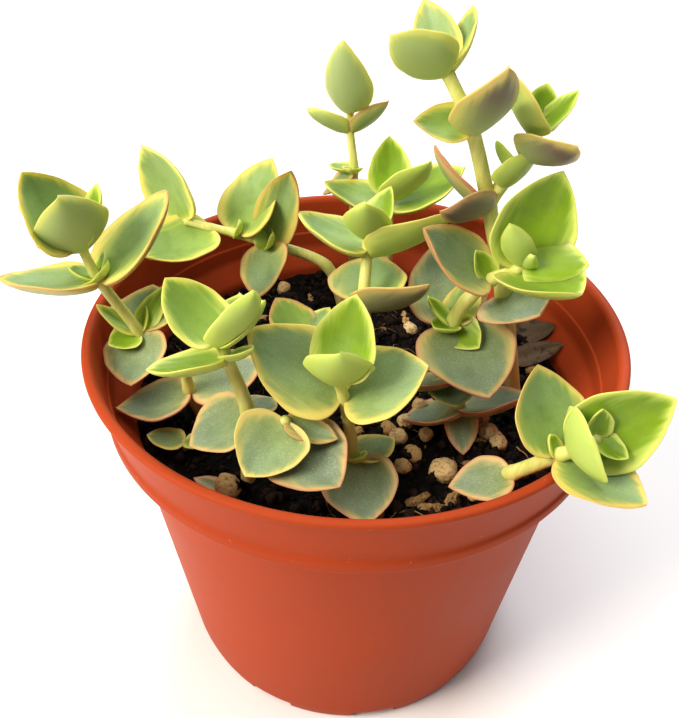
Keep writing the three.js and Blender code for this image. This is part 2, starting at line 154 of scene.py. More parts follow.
def sleeve_faces(rings, columns):
    """Quads join ring k to ring k + 1, and triangles join the end rings to the first and the last pole.
    The poles are the two points after the rings."""
    ring = np.arange(rings - 1)[:, None] * columns
    side = np.arange(columns)[None, :]
    after = (side + 1) % columns
    quads = np.stack([ring + side, ring + after, ring + columns + after, ring + columns + side], axis=-1)
    side, after = side[0], after[0]
    top = (rings - 1) * columns
    first = np.full(columns, rings * columns)
    fans = np.concatenate(
        [np.stack([first, after, side], axis=-1), np.stack([first + 1, top + side, top + after], axis=-1)]
    )
    return quads.reshape(-1, 4), fans


def volume(points, quads, fans):
    """Signed volume: the sum over triangles of a . (b x c) / 6, positive when faces point outwards."""
    triangles = np.concatenate([quads[:, [0, 1, 2]], quads[:, [0, 2, 3]], fans])
    a, b, c = (points[triangles[:, k]] for k in range(3))
    return float(np.einsum("ij,ij->i", a, np.cross(b, c)).sum() / 6)


def put_in_scene(name, data):
    """A new object with this data, linked to the scene."""
    thing = bpy.data.objects.new(name, data)
    bpy.context.scene.collection.objects.link(thing)
    return thing


def new_piece(name, points, quads, fans, marks=None, material_of=None):
    """Puts the points, in mm, and the faces into a mesh. marks are values kept at each point."""
    mesh = bpy.data.meshes.new(name)
    mesh.from_pydata(points * MM, [], quads.tolist() + fans.tolist())
    for key, values in (marks or {}).items():
        layer = mesh.attributes.new(key, "FLOAT_VECTOR", "POINT")
        layer.data.foreach_set("vector", np.ascontiguousarray(values, dtype=np.float32).ravel())
    if material_of is not None:
        mesh.polygons.foreach_set("material_index", material_of.astype(np.int32))
    mesh.shade_smooth()
    mesh.update()
    piece = put_in_scene(name, mesh)
    print(f"{name}: {len(points)} points, {volume(points, quads, fans) / 1000:.2f} ml")
    return piece


def joined(sleeves):
    """Joins many sleeves into one set of arrays. A sleeve is (points, quads, fans, marks)."""
    starts = np.cumsum([0] + [len(sleeve[0]) for sleeve in sleeves[:-1]])
    points = np.concatenate([sleeve[0] for sleeve in sleeves])
    quads = np.concatenate([sleeve[1] + start for sleeve, start in zip(sleeves, starts)])
    fans = np.concatenate([sleeve[2] + start for sleeve, start in zip(sleeves, starts)])
    marks = {key: np.concatenate([sleeve[3][key] for sleeve in sleeves]) for key in sleeves[0][3]}
    return points, quads, fans, marks


def ripple(points, size, seed, waves=14):
    """A smooth height about 1 high at each point: many sine waves about `size` mm long, in seeded
    directions, added up and divided by the root of half their number."""
    draw = np.random.default_rng(seed)
    direction = draw.normal(size=(waves, points.shape[-1]))
    stretch = draw.uniform(0.7, 1.4, (waves, 1))
    direction /= np.linalg.norm(direction, axis=1, keepdims=True) * stretch * size
    phase = draw.uniform(0, 1, waves)
    return np.sin(2 * np.pi * (points @ direction.T + phase)).sum(-1) / (waves / 2) ** 0.5


# %% [markdown]
# The camera repeats the photograph's view: a 40 mm lens, 135 mm from the middle of the rim and 35.5 degrees
# above it, with a slight turn about its own axis. It comes before the pieces, so each piece can be judged
# in the view that it was made for.

# %% The camera
EYE = np.array([0.0, -109.91, 150.4])
AIM = np.array([-2.6, 0.0, 62.8])
TURN = 1.32  # degrees about the view axis

view = (AIM - EYE) / np.linalg.norm(AIM - EYE)
level = np.cross(view, [0, 0, 1])
level /= np.linalg.norm(level)
upright = np.cross(level, view)
tip = np.radians(TURN)
right = np.cos(tip) * level + np.sin(tip) * upright
top = np.cos(tip) * upright - np.sin(tip) * level
lens = bpy.data.cameras.new("photo_camera")
lens.lens = 40
lens.sensor_width = 36
lens.clip_start = 0.01
camera = put_in_scene("photo_camera", lens)
axes = Matrix(np.column_stack([right, top, -view]).tolist()).to_4x4()
camera.matrix_world = Matrix.Translation(Vector(EYE * MM)) @ axes
bpy.context.scene.camera = camera
print("camera", [round(v, 4) for v in camera.matrix_world.translation])

# %% [markdown]
# The pot is a thermoformed or thin injection-moulded polypropylene nursery pot. A straight-sided body
# widens into a collar above a bead, and a small rolled lip stiffens the rim. It could be modelled from
# stacked rings by hand, but a lathe is closer to how its mould was cut: one profile, turned round the axis.
# The profile here is the CAD's, with each corner rounded by a short curve so that it catches light.

# %% The pot's profile
WALL = 1.0
FLOOR_Z = 1.4  # the upper side of the floor's middle
BODY_LOW_RADIUS, BODY_LOW_Z = 33.1, 3.8
BODY_TOP_RADIUS, BODY_TOP_Z = 39.5, 58.2
POT_CORNERS = np.array([
    # radius, height, how far the corner's curve reaches, in mm: up the outside from the middle of the floor
    [12.0, 0, 0.5], [12.6, 1.8, 0.5], [28.0, 1.8, 0.5], [28.6, 0, 0.5], [31.7, 0, 0.3], [32.3, 0.6, 0.4],
    [33.1, 3.5, 1.0], [39.5, 58.2, 0.7], [41.8, 58.8, 0.5], [42.85, 59.4, 0.5], [42.85, 61.2, 0.5],
    [42.4, 61.8, 0.6], [44.1, 70.7, 0.4], [45.0, 71.0, 0.4], [45.0, 71.7, 0.35], [44.7, 72.0, 0.35],
    # down the inside to the middle of the floor
    [43.8, 72.0, 0.4], [43.2, 71.4, 0.5], [42.05, 65.0, 0.1], [41.75, 64.7, 0.1], [41.4, 61.8, 0.8],
    [38.5, 58.2, 0.8], [32.1, 3.8, 0.5], [31.5, 3.2, 0.3], [11.6, 3.2, 0.4], [11.0, 1.4, 0.4],
])


def rounded(corners, ends, steps=5):
    """Each corner becomes a quadratic curve: (1-w)^2 start + 2w(1-w) corner + w^2 end, where start and end
    lie on the two straight sides, as far from the corner as its reach, and at most half a side."""
    place = np.vstack([ends[0], corners[:, :2], ends[1]])
    corner, before, after = place[1:-1], place[:-2] - place[1:-1], place[2:] - place[1:-1]
    length = [np.linalg.norm(side, axis=1, keepdims=True) for side in (before, after)]
    start, end = (
        corner + side / size * np.minimum(corners[:, 2:], size * 0.48)
        for side, size in zip((before, after), length)
    )
    w = np.linspace(0, 1, steps)[None, :, None]
    curve = (1 - w) ** 2 * start[:, None] + 2 * w * (1 - w) * corner[:, None] + w**2 * end[:, None]
    return curve.reshape(-1, 2)


profile = rounded(POT_CORNERS, [[0, 0], [0, FLOOR_Z]])
print("pot profile:", len(profile), "points")

# %% [markdown]
# Ten shallow notches run through the foot ring so that water can leave the saucer side. Their cut edges are
# straight, so the lathe gets extra columns just inside and outside each edge, and the points between them
# are lifted to the notch's roof. The six drain holes are bored with a Boolean that is applied at once.

# %% The pot's shell
POT_COLUMNS = 240
NOTCH_COUNT = 10
NOTCH_HALF = 7.4  # degrees, for 8 mm of width at the foot
NOTCH_EDGE = 0.08  # degrees from the last column in a notch to the first beside it
NOTCH_HEIGHT = 1.9
NOTCH_FIRST = 11.0  # degrees from the viewer's side
NOTCH_INNER_RADIUS = 27.5
OUTSIDE_POINTS = 60  # of the profile: those of the 12 corners below the collar, outside
DRAIN_COUNT = 6
DRAIN_RADIUS = 2.3
DRAIN_RING = 20.0
DRILL_LOW, DRILL_HIGH = -2, 6
SHARP_FROM = 38  # degrees between two faces that show as an edge

notch = NOTCH_FIRST - 90 + 360 / NOTCH_COUNT * np.arange(NOTCH_COUNT)
edges = np.concatenate([notch + sign * (NOTCH_HALF + gap) for sign in (-1, 1) for gap in (0.0, NOTCH_EDGE)])
turn = np.unique(np.round(np.concatenate([np.arange(POT_COLUMNS) * 360 / POT_COLUMNS, edges % 360]), 3))
off_notch = np.abs((turn[:, None] - notch[None, :] + 180) % 360 - 180).min(axis=1)
turn = np.radians(turn)
radius = profile[:, :1] + 0 * turn
height = profile[:, 1:] + 0 * turn
in_foot = (radius > NOTCH_INNER_RADIUS) & (height < NOTCH_HEIGHT) & (off_notch <= NOTCH_HALF + 0.01)
height = np.where(in_foot & (np.arange(len(profile))[:, None] < OUTSIDE_POINTS), NOTCH_HEIGHT, height)
shell = polar(radius, turn, height).reshape(-1, 3)
shell = np.vstack([shell, [0, 0, 0], [0, 0, FLOOR_Z]])
pot = new_piece("nursery_pot", shell, *sleeve_faces(len(profile), len(turn)))

drain_turn = np.radians(90 + 360 / DRAIN_COUNT * np.arange(DRAIN_COUNT))
bore = np.linspace(0, 2 * np.pi, 32, endpoint=False)
rod = polar(DRAIN_RADIUS, bore, 0)
rods = []
for angle in drain_turn:
    centre = polar(DRAIN_RING, angle, 0)
    ends = np.stack([centre + [0, 0, DRILL_LOW], centre + [0, 0, DRILL_HIGH]])
    rods.append((np.vstack([*(end + rod for end in ends), ends]), *sleeve_faces(2, len(bore)), {}))
drill = new_piece("drain_drill", *joined(rods))
cut = pot.modifiers.new("drain holes", "BOOLEAN")
cut.operation = "DIFFERENCE"
cut.object = drill
cut.solver = "EXACT"
solid_pot = bpy.data.meshes.new_from_object(pot.evaluated_get(bpy.context.evaluated_depsgraph_get()))
pot.modifiers.clear()
pot.data = solid_pot
bpy.data.objects.remove(drill)
pot.data.shade_smooth()
pot.data.set_sharp_from_angle(angle=np.radians(SHARP_FROM))
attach(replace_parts(pot, "pot"), "root")
print("pot faces:", len(pot.data.polygons))

# %% [markdown]
# Potting mix is dark peat with crumbs, grains of white perlite stained by the peat, and chips of bark. Its
# surface is a height over the plane: a low crown, soft swells as in the CAD, and finer ripples. Rings of
# points from the middle to the wall carry that height, and a side and a bottom close the body in the pot.

# %% The mix's surface
SOIL_LEVEL = 57.0
SOIL_CROWN = 1.2
CLEARANCE = 0.3


def wall_radius(z):
    """The pot's inner radius: the body's, which grows in a straight line from 33.1 mm at a height of 3.8 mm
    to 39.5 mm at 58.2 mm, less the wall."""
    widening = BODY_TOP_RADIUS - BODY_LOW_RADIUS
    return BODY_LOW_RADIUS + widening * (z - BODY_LOW_Z) / (BODY_TOP_Z - BODY_LOW_Z) - WALL


def soil_height(x, y):
    """The CAD's height: a crown that falls with the square of the radius, plus two products of sines."""
    swells = 0.5 * np.sin(0.3 * x + 1.3) * np.sin(0.27 * y) + 0.3 * np.sin(0.35 * x - 0.3 * y)
    return SOIL_LEVEL + SOIL_CROWN * (0.5 - (x**2 + y**2) / BODY_TOP_RADIUS**2) + swells


def fine_height(x, y):
    """The CAD's height with ripples of 7, 3 and 1.3 mm."""
    place = np.stack([x, y], axis=-1)
    return (
        soil_height(x, y)
        + 0.32 * ripple(place, 7.0, 11)
        + 0.22 * ripple(place, 3.0, 12)
        + 0.10 * ripple(place, 1.3, 13)
    )


SOIL_RINGS = 105
SOIL_COLUMNS = 300
SOIL_MIDDLE_RING = 0.36
SOIL_FOOT_Z = 4.6
SOIL_BASE_Z = 1.7
SURFACE_GAP = 0.08  # between the surface's outer ring and the wall
mix_radius = wall_radius(SOIL_LEVEL - SOIL_CROWN / 2)
spin = np.linspace(0, 2 * np.pi, SOIL_COLUMNS, endpoint=False)
reach = np.linspace(SOIL_MIDDLE_RING, mix_radius - SURFACE_GAP, SOIL_RINGS)
x, y = reach[:, None] * np.cos(spin), reach[:, None] * np.sin(spin)
upper = np.stack([x, y, fine_height(x, y)], axis=-1)
# The side and the bottom, close inside the pot: the foot of the wall, the floor's ring and its middle
lower = [[wall_radius(SOIL_FOOT_Z) - CLEARANCE, SOIL_FOOT_Z], [31.2, 3.5], [10.7, 3.5], [10.7, SOIL_BASE_Z]]
lower = np.array(lower)
lower = polar(lower[:, :1], spin, lower[:, 1:])
body = np.concatenate([upper, lower]).reshape(-1, 3)
middle_height = fine_height(np.zeros(1), np.zeros(1))[0]
body = np.vstack([body, [0, 0, middle_height], [0, 0, SOIL_BASE_Z]])
quads, fans = sleeve_faces(SOIL_RINGS + len(lower), SOIL_COLUMNS)
mix = new_piece("potting_mix_bed", body, quads[:, ::-1], fans[:, ::-1])
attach(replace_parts(mix, "potting_mix"), "root")

# %% [markdown]
# The shoots come from a table. Each has its name, how thick its stem is against the usual one, the nodes of
# the stem from the root up, and its leaves. A leaf has the node it grows from, the heading in degrees from
# +X, the rise in degrees above level and its length in mm. The words say what makes leaves differ: width as
# a share of length, roll about the leaf's own line, sag of the midrib, curl of the tip, and for the looks
# its age, how far sun has blushed its margin, and how brown its underside is. Leaves of this plant stand in
# pairs, and each pair is turned a quarter from the last.

# %% The shoot table
def leaf(node, heading, rise, length, width=0.8, roll=0, sag=0.06, age=0.1, blush=0, under=0, curl=0):
    """One leaf of the table."""
    return {
        "node": node, "heading": heading, "rise": rise, "length": length, "width": width,
        "roll": roll, "sag": sag, "age": age, "blush": blush, "under": under, "curl": curl,
    }


def shoot_row(name, thickness, stem, leaves, branch=None):
    """One shoot of the table. branch holds the node it leaves from, its own nodes and its leaves."""
    return {"name": name, "thickness": thickness, "stem": stem, "leaves": leaves, "branch": branch}


SHOOTS = [
    shoot_row("shoot_left", 0.85, [[-31.5, -3, 57], [-35.8, -5, 71], [-41, -5, 81.3], [-42.5, -5, 87]], [
        leaf(1, 175, 36, 8, width=0.45, age=0.3),
        leaf(1, 30, 55, 9.2, width=0.45, roll=40),
        leaf(1, 60, 60, 4.6, width=0.6),
        leaf(1, -145, -6, 5.4, width=1.05, roll=-20),
        leaf(1, 80, 30, 8.8, width=1.45, age=0.85, blush=0.3),
        leaf(1, -88, -24, 10, width=1.12, age=0.95, blush=0.7),
        leaf(2, -160, 10, 14.3, age=0.7, blush=0.45),
        leaf(2, 38, 40, 17.6, width=0.7, roll=15, age=0.6, blush=0.5),
        leaf(2, -170, 30, 4.6, width=1),
        leaf(2, 60, 60, 4.4, width=1),
        leaf(2, -110, 15, 4.6, width=1),
        leaf(2, -20, 55, 4.4, width=1),
        leaf(3, 168, 57, 13.4, width=0.95, age=0.5, blush=0.3),
        leaf(3, -92, 68, 11.4, width=0.98, age=0.4, blush=0.1),
        leaf(3, 63, 56, 9.8, width=0.65),
        leaf(3, -179, 40, 10.5, width=0.5),
    ]),
    shoot_row("shoot_left_low", 1, [[-26, -9, 57], [-27, -11, 64], [-27, -12, 68.5]], [
        leaf(1, -161, -5, 12.3, roll=15, sag=0.12, age=1, blush=0.9),
        leaf(1, 20, 15, 13, age=1, blush=0.9),
        leaf(2, 10, 25, 4, width=0.7),
    ]),
    shoot_row("shoot_front_left", 0.9, [
        [-16, -24, 57], [-15.5, -23, 71], [-18, -23, 81], [-18.5, -23, 83.5],
    ], [
        leaf(1, -152, -22, 10, width=1.18, age=0.95, blush=0.4),
        leaf(1, 60, -20, 7, age=1),
        leaf(2, -160, 0, 11, roll=15, age=0.3),
        leaf(2, -30, 35, 6, roll=-20, age=0.2),
        leaf(3, 150, 38, 11.5, age=0.35),
        leaf(3, 10, 45, 9, age=0.2),
        leaf(3, 80, 15, 9, age=0.2),
        leaf(3, -30, 60, 12.5, width=0.6, roll=-25),
    ]),
    shoot_row("shoot_front_low", 0.85, [[-9, -24, 57], [-10, -26, 69.5], [-9.4, -26.4, 72.4]], [
        leaf(2, -120, -17, 10.3, width=1.02, age=0.85),
        leaf(1, -45, -8, 12.5, width=1, age=1, blush=0.7),
        leaf(2, -10, -15, 8, width=0.65, age=0.85, blush=0.6),
    ]),
    shoot_row("shoot_front_middle", 0.85, [
        [1, -23, 57], [0.5, -23, 62], [-1.3, -23, 74], [-2.2, -24, 78],
    ], [
        leaf(1, -78, -10, 12, width=0.95, age=1, blush=0.7),
        leaf(1, 40, -4, 8.3, age=0.8),
        leaf(1, -60, 45, 4),
        leaf(2, 165, 32, 17, width=0.76, roll=-25, age=0.75, blush=0.1),
        leaf(2, 0, 29, 13.5, width=0.98, roll=12, age=0.75, blush=0.1),
        leaf(3, 70, 60, 12.5, width=0.78),
        leaf(3, -85, 66, 8.5, width=1.15, roll=-57, age=0.05),
    ]),
    shoot_row("shoot_middle", 0.9, [[3.5, 1, 57], [1.2, -1.3, 76], [1.5, 3.2, 83.6], [1.5, 3.6, 85.9]], [
        leaf(1, -33, 35, 14.2, width=0.74, roll=-46, age=0.8, blush=0.35, under=0.6),
        leaf(1, 82, 11, 12, width=1.05, age=0.6, blush=0.5),
        leaf(2, 168, 22, 12.5, roll=-30, age=0.5),
        leaf(2, 2, 26, 14.5, width=0.7, roll=-12, age=0.2, blush=0.15),
        leaf(3, -98, 58, 10, width=0.76, age=0.2),
        leaf(3, 50, 52, 8.4, width=0.82),
    ]),
    shoot_row("shoot_back", 0.9, [[6, 28, 57], [5.5, 27, 79], [5.5, 27, 81]], [
        leaf(1, 15, 25, 16, age=0.3),
        leaf(1, 175, 17, 13, age=0.45),
        leaf(2, 95, 60, 11, width=0.72),
        leaf(2, -35, 50, 12.6, width=0.72, roll=-20),
    ]),
    shoot_row("shoot_back_thin", 0.75, [
        [-1, 35, 57], [-1.5, 35.5, 82.5], [-2.5, 36.5, 90], [-2.5, 37, 93.5],
    ], [
        leaf(1, 180, 5, 5, age=0.3),
        leaf(1, -99, 22, 5, age=0.4),
        leaf(1, -155, -35, 8, width=0.6, age=0.8, blush=0.9),
        leaf(2, 175, 22, 9, width=0.6, roll=45, age=0.4),
        leaf(2, 13, 35, 9, width=0.6, roll=-45, age=0.5, blush=0.6),
        leaf(3, -130, 80, 13.5, width=0.68, age=0.5),
        leaf(3, 80, 60, 9, age=0.5),
    ]),
    shoot_row("shoot_back_left", 0.8, [
        [-2, 20, 57], [-6, 20, 69.5], [-17, 20, 74],
        [-23, 20.4, 75.6], [-27.5, 20.4, 76.6], [-32.3, 21, 77.5],
    ], [
        leaf(3, 50, 50, 15.5, width=0.9, roll=45, age=0.5, blush=0.3),
        leaf(2, -31, 71, 17, width=0.5, roll=70, age=0.6, blush=0.6),
        leaf(2, -95, -25, 12, roll=-45, age=0.8, blush=0.7),
        leaf(5, 154, 57, 15.5, width=0.9, roll=55, age=0.45),
        leaf(4, -140, -5, 14, width=0.9, roll=-75, age=0.5, blush=0.2),
        leaf(3, -60, 60, 4, width=0.9),
        leaf(2, -70, 50, 4.5, width=0.9),
        leaf(2, -150, 40, 4, width=0.9),
    ]),
    shoot_row("shoot_tall", 1.1, [
        [28.5, -1, 57], [24, 0.2, 78], [20, 3, 92.2], [15.5, 1.5, 105.5], [11.2, 2.5, 113],
    ], [
        leaf(1, -68, 14, 11, width=1.22, roll=15, age=1, blush=0.6),
        leaf(2, -145, 10, 10, roll=40, age=1, blush=0.5, under=1),
        leaf(2, 175, 45, 13, width=0.5, age=0.8, blush=0.8),
        leaf(3, -75, 50, 15, width=0.6, roll=-25, age=0.5, blush=0.35, under=0.9),
        leaf(3, -175, 5, 8.5, roll=-25, age=0.4, blush=0.4),
        leaf(4, -155, 32, 10.6, width=0.8, roll=25, age=0.4, blush=0.1),
        leaf(4, 112, 38, 11.5, width=0.6, age=0.65, blush=0.1),
        leaf(4, 60, 44, 10, width=0.62, age=0.6),
    ], branch=(2, [[21.5, 3, 95.7], [23, 3.3, 98.2], [24.5, 3.6, 100.6], [25.7, 4, 104]], [
        leaf(1, -20, 58, 7.2, width=0.95, age=0.2),
        leaf(2, 145, 46, 5, width=0.75, roll=30),
        leaf(3, -55, 26, 10.5, width=0.9, age=0.6, blush=0.25, under=1),
        leaf(4, -160, 58, 12, width=0.75, age=0.35, blush=0.2),
        leaf(4, 75, 45, 7.5),
        leaf(4, 20, 45, 8, width=0.6),
    ])),
    shoot_row("shoot_right", 0.95, [
        [17, -3, 57], [16, -3, 73.5], [17.6, -3.6, 78.5], [21, -4, 83], [24, -6, 86], [24.9, -6, 87.3],
    ], [
        leaf(1, 102, 29, 15.3, width=0.86, age=0.95, blush=0.8),
        leaf(1, -71, -12, 15.6, width=1, age=0.95, blush=0.8),
        leaf(1, 165, 45, 6.5, width=0.55),
        leaf(1, 60, 38, 8.5, width=0.75, age=0.6, blush=0.3),
        leaf(1, -52, -8, 6.5, width=0.9, roll=30),
        leaf(1, -135, 18, 5, width=1),
        leaf(3, -178, 38, 14.5, width=0.8, roll=-14, age=0.85, blush=0.7),
        leaf(3, 158, 55, 5.5, width=0.78, roll=-40),
        leaf(4, 40, 65, 16, width=0.78, roll=-35),
        leaf(4, -53, 12, 12.5, width=1.1, roll=25, age=0.25),
        leaf(5, -165, 65, 8, width=0.62, roll=70),
        leaf(5, -15, 10, 9.5, width=0.95, roll=45, age=0.05),
        leaf(5, 80, 55, 3.6, width=1, age=0.05),
        leaf(5, -60, 50, 3.4, width=1, age=0.05),
    ]),
    shoot_row("shoot_right_low", 0.8, [[18, -9, 57], [18, -10, 61.5], [16.5, -8, 66.5]], [
        leaf(1, -5, 22, 11.5, width=1.2, roll=-38, age=1, blush=0.9),
        leaf(1, -170, -10, 10, width=1.2, roll=38, age=1, blush=0.9),
        leaf(1, -88, -26, 8.4, width=0.65, age=1, blush=0.8),
        leaf(2, -88, -4, 7, width=1.25, age=0.8, blush=0.15),
        leaf(2, -158, 4, 10, width=0.75, age=1, blush=0.9),
    ]),
    shoot_row("shoot_over_rim", 0.9, [
        [22, -22, 57], [23.5, -28.5, 65.5], [28, -33, 74], [29.5, -33.5, 75.5], [32.3, -33.4, 77.8],
    ], [
        leaf(1, -170, -10, 9.5, roll=35, age=1, blush=0.7),
        leaf(2, 150, 60, 3.5, age=0.3),
        leaf(2, 110, 45, 12.5, width=1.05, age=0.55, blush=0.35),
        leaf(2, -35, -5, 12.5, sag=0.02, age=0.7, blush=0.35),
        leaf(3, 5, 37, 14.5, width=0.75),
        leaf(3, -84, 58, 7.6, width=1.36, roll=7),
        leaf(4, -40, -8, 4.5, width=0.85, roll=45),
        leaf(4, 100, 80, 4.5, width=0.85, roll=-70),
    ]),
    shoot_row("shoot_small", 0.7, [[-9, -5, 57], [-8.5, -7.5, 72.5]], [
        leaf(1, 138, 40, 8, width=1, age=0.4, blush=0.8),
        leaf(1, 45, 30, 7, width=0.7, age=0.5),
        leaf(1, 10, 15, 7, width=0.7, age=0.5),
    ]),
    shoot_row("seedling", 0.5, [[-27, -18, 57], [-27, -18, 59]], [
        leaf(1, 178, 8, 6.2, age=0.8),
        leaf(1, -10, 12, 4.5, age=0.3),
    ]),
]
print("shoots:", len(SHOOTS), "leaves:", sum(len(shoot["leaves"]) for shoot in SHOOTS))

# %% [markdown]
# A leaf is a fleshy blade: widest before its middle, drawn to a point, with a cupped face, a fuller belly
# and a rounded rim. It could be sculpted once and copied, but then every leaf would be the same. Here two
# parameters run over each leaf, t along it and an angle round it, and the table's numbers shape them.
# Three marks are kept at each point for the material: where it is on the blade, what the leaf is like, and
# what the skin is there.

# %% The leaf
LEAF_ROWS = 34
LEAF_COLUMNS = 48
LEAF_THICKNESS = 0.12
LEAF_LEAST_THICKNESS = 0.9
LEAF_ROUNDNESS = 2.6
LEAF_CUP = 0.32
LEAF_BASE = 0.3
LEAF_WAVE, LEAF_FINE_WAVE = 0.03, 0.012  # of the half width
LEAF_SWAY = 0.025  # of the length
LEAF_FURROW = 0.2  # mm, along the midrib above and the keel below
LEAF_FULL_RELIEF = 12  # mm, from this length on the relief has its full height
LEAF_GROWN = 18  # mm, the length that the skin takes as 1
BLADE_BASE, BLADE_TIP = 0.58, 0.88


def leaf_outline(t):
    """Half width at a share t of the length: t^0.58 (1-t)^0.88 over its largest value, plus a clasping
    base of 0.3 (1-t)^4, drawn in by a seventh close to the tip."""
    fullest = BLADE_BASE / (BLADE_BASE + BLADE_TIP)
    blade = t**BLADE_BASE * (1 - t) ** BLADE_TIP / (fullest**BLADE_BASE * (1 - fullest) ** BLADE_TIP)
    return (LEAF_BASE * (1 - t) ** 4 + blade) * (1 - 0.14 * np.exp(-(1 - t) / 0.03))


def leaf_frame(grow, heading, rise, roll):
    """Three directions at right angles: along the leaf, across it, and up from its face. Up starts as the
    stem's own direction and is turned by roll about the leaf."""
    heading, rise, roll = np.radians([heading, rise, roll])
    along = np.array([np.cos(rise) * np.cos(heading), np.cos(rise) * np.sin(heading), np.sin(rise)])
    up = grow - grow @ along * along
    up /= np.linalg.norm(up)
    up = up * np.cos(roll) + np.cross(along, up) * np.sin(roll)
    return along, np.cross(along, up), up


def leaf_sleeve(place, grow, row, seed):
    """place + along L t + across h s + up (z - 4 sag L t (1-t)), where h is the half width, s = cos(angle)
    and z = cup h |s|^2.2 - D/2 + D/2 e. D is the depth, and e = (1 - |s|^2.6)^(1/2.6) is above or below.
    An old leaf is flatter, and its face swells between midrib and margin."""
    draw = np.random.default_rng(seed)
    along, across, up = leaf_frame(grow, row["heading"], row["rise"], row["roll"])
    length, age = row["length"], row["age"]
    t = ((1 - np.cos(np.pi * np.linspace(0, 1, LEAF_ROWS + 1)[:-1])) / 2)[:, None]
    angle = np.linspace(0, 2 * np.pi, LEAF_COLUMNS, endpoint=False)[None, :]
    s = np.cos(angle) + 0 * t
    e = np.sign(np.sin(angle)) * (1 - np.abs(s) ** LEAF_ROUNDNESS) ** (1 / LEAF_ROUNDNESS)
    half = length * row["width"] / 2 * leaf_outline(t)
    phase = draw.uniform(0, 2 * np.pi, 6)
    left = 1 + LEAF_WAVE * np.sin(6 * t + phase[0]) + LEAF_FINE_WAVE * np.sin(19 * t + phase[1])
    right = 1 + LEAF_WAVE * np.sin(6 * t + phase[2]) + LEAF_FINE_WAVE * np.sin(19 * t + phase[3])
    half = half * np.where(s < 0, left, right)
    thick = max(LEAF_LEAST_THICKNESS, length * LEAF_THICKNESS)
    depth = thick * (1 - 0.3 * t) * np.sqrt(1 - t**7) * (1 - 0.35 * s**2)
    swell = np.exp(-(((np.abs(s) - 0.5) / 0.25) ** 2)) * np.sin(np.pi * t) * (0.06 + 0.22 * age)
    groove = np.exp(-((s / 0.12) ** 2)) * (1 - t) * np.sqrt(t)
    keel = np.exp(-((s / 0.3) ** 2)) * (1 - t) * np.sqrt(t)
    sway = LEAF_SWAY * length * np.sin(8 * t + phase[4]) * s**2 * np.sign(s) * t
    height = LEAF_CUP * (1.1 - 0.35 * age) * half * np.abs(s) ** 2.2 - depth / 2 + depth / 2 * e + sway
    carving = np.where(e > 0, swell - LEAF_FURROW * groove, -LEAF_FURROW * keel)
    height += carving * min(1, length / LEAF_FULL_RELIEF)
    sag = 4 * row["sag"] * length * t * (1 - t) - row["curl"] * length * t**3
    points = (
        place
        + along * (length * t)[..., None]
        + across * (half * s)[..., None]
        + up * (height - sag)[..., None]
    )
    slope = np.gradient(half, length * t[:, 0], axis=0)
    edge = half * (1 - np.abs(s)) / np.sqrt(1 + slope**2)
    blade = np.stack([s * half / half.max(), t + 0 * s, edge], axis=-1)
    habit = np.array([age, row["blush"], row["under"]])
    skin = np.stack([0.5 + 0.5 * e, draw.uniform(0, 1) + 0 * s, length / LEAF_GROWN + 0 * s], axis=-1)
    poles = [place - up * thick / 3, place + along * length + up * row["curl"] * length]
    blade = np.vstack([blade.reshape(-1, 3), [[0, 0, 1], [0, 1, 0]]])
    skin = np.vstack([skin.reshape(-1, 3), skin[0, 0], skin[-1, 0]])
    marks = {"blade": blade, "habit": np.tile(habit, (len(blade), 1)), "skin": skin}
    quads, fans = sleeve_faces(LEAF_ROWS, LEAF_COLUMNS)
    return np.vstack([points.reshape(-1, 3), poles]), quads[:, ::-1], fans[:, ::-1], marks


# %% [markdown]
# A stem is a round tube that thins towards its tip and swells a little at each node, where a pair of leaves
# clasps it. It runs through its nodes on Hermite curves, whose slopes at a node follow the line between its
# two neighbours. Each slope is scaled by the length of its own stretch, so a short stretch next to a long
# one doesn't bulge.

# %% The stem
STEM_ROOT_RADIUS = 1.6
STEM_TIP_RADIUS = 0.85
STEM_COLUMNS = 18
STEM_STEPS = 10
NODE_SWELL, NODE_REACH = 0.14, 1.1
BRANCH_SHARE = 0.65
ROOT_DEPTH = 8.0


def smooth_path(nodes, steps):
    """Between nodes p and q, a stretch of length L with unit slopes u and v:
    (2f^3-3f^2+1) p + (3f^2-2f^3) q + 0.8 L ((f^3-2f^2+f) u + (f^3-f^2) v). The last array says how many
    nodes have been passed."""
    padded = np.vstack([2 * nodes[0] - nodes[1], nodes, 2 * nodes[-1] - nodes[-2]])
    slope = padded[2:] - padded[:-2]
    slope /= np.linalg.norm(slope, axis=1, keepdims=True)
    passed = np.linspace(0, len(nodes) - 1, (len(nodes) - 1) * steps + 1)
    k = np.minimum(passed.astype(int), len(nodes) - 2)
    f = (passed - k)[:, None]
    start, end = nodes[k], nodes[k + 1]
    pull = 0.8 * np.linalg.norm(end - start, axis=1, keepdims=True)
    bend = (f**3 - 2 * f**2 + f) * slope[k] + (f**3 - f**2) * slope[k + 1]
    return (2 * f**3 - 3 * f**2 + 1) * start + (3 * f**2 - 2 * f**3) * end + pull * bend, passed


def tube(path, radius, columns):
    """A round ring at each point of the path, square to it: point + r (normal cos + binormal sin)."""
    heading = np.gradient(path, axis=0)
    heading /= np.linalg.norm(heading, axis=1, keepdims=True)
    side = np.array([1.0, 0, 0])
    normal = side - heading * (heading @ side)[:, None]
    normal /= np.linalg.norm(normal, axis=1, keepdims=True)
    binormal = np.cross(heading, normal)
    angle = np.linspace(0, 2 * np.pi, columns, endpoint=False)
    ring = normal[:, None] * np.cos(angle)[:, None] + binormal[:, None] * np.sin(angle)[:, None]
    points = path[:, None] + ring * radius.reshape(len(path), -1)[..., None]
    first = path[0] - heading[0] * 0.3 * radius[0].mean()
    last = path[-1] + heading[-1] * 0.6 * radius[-1].mean()
    return np.vstack([points.reshape(-1, 3), first, last])


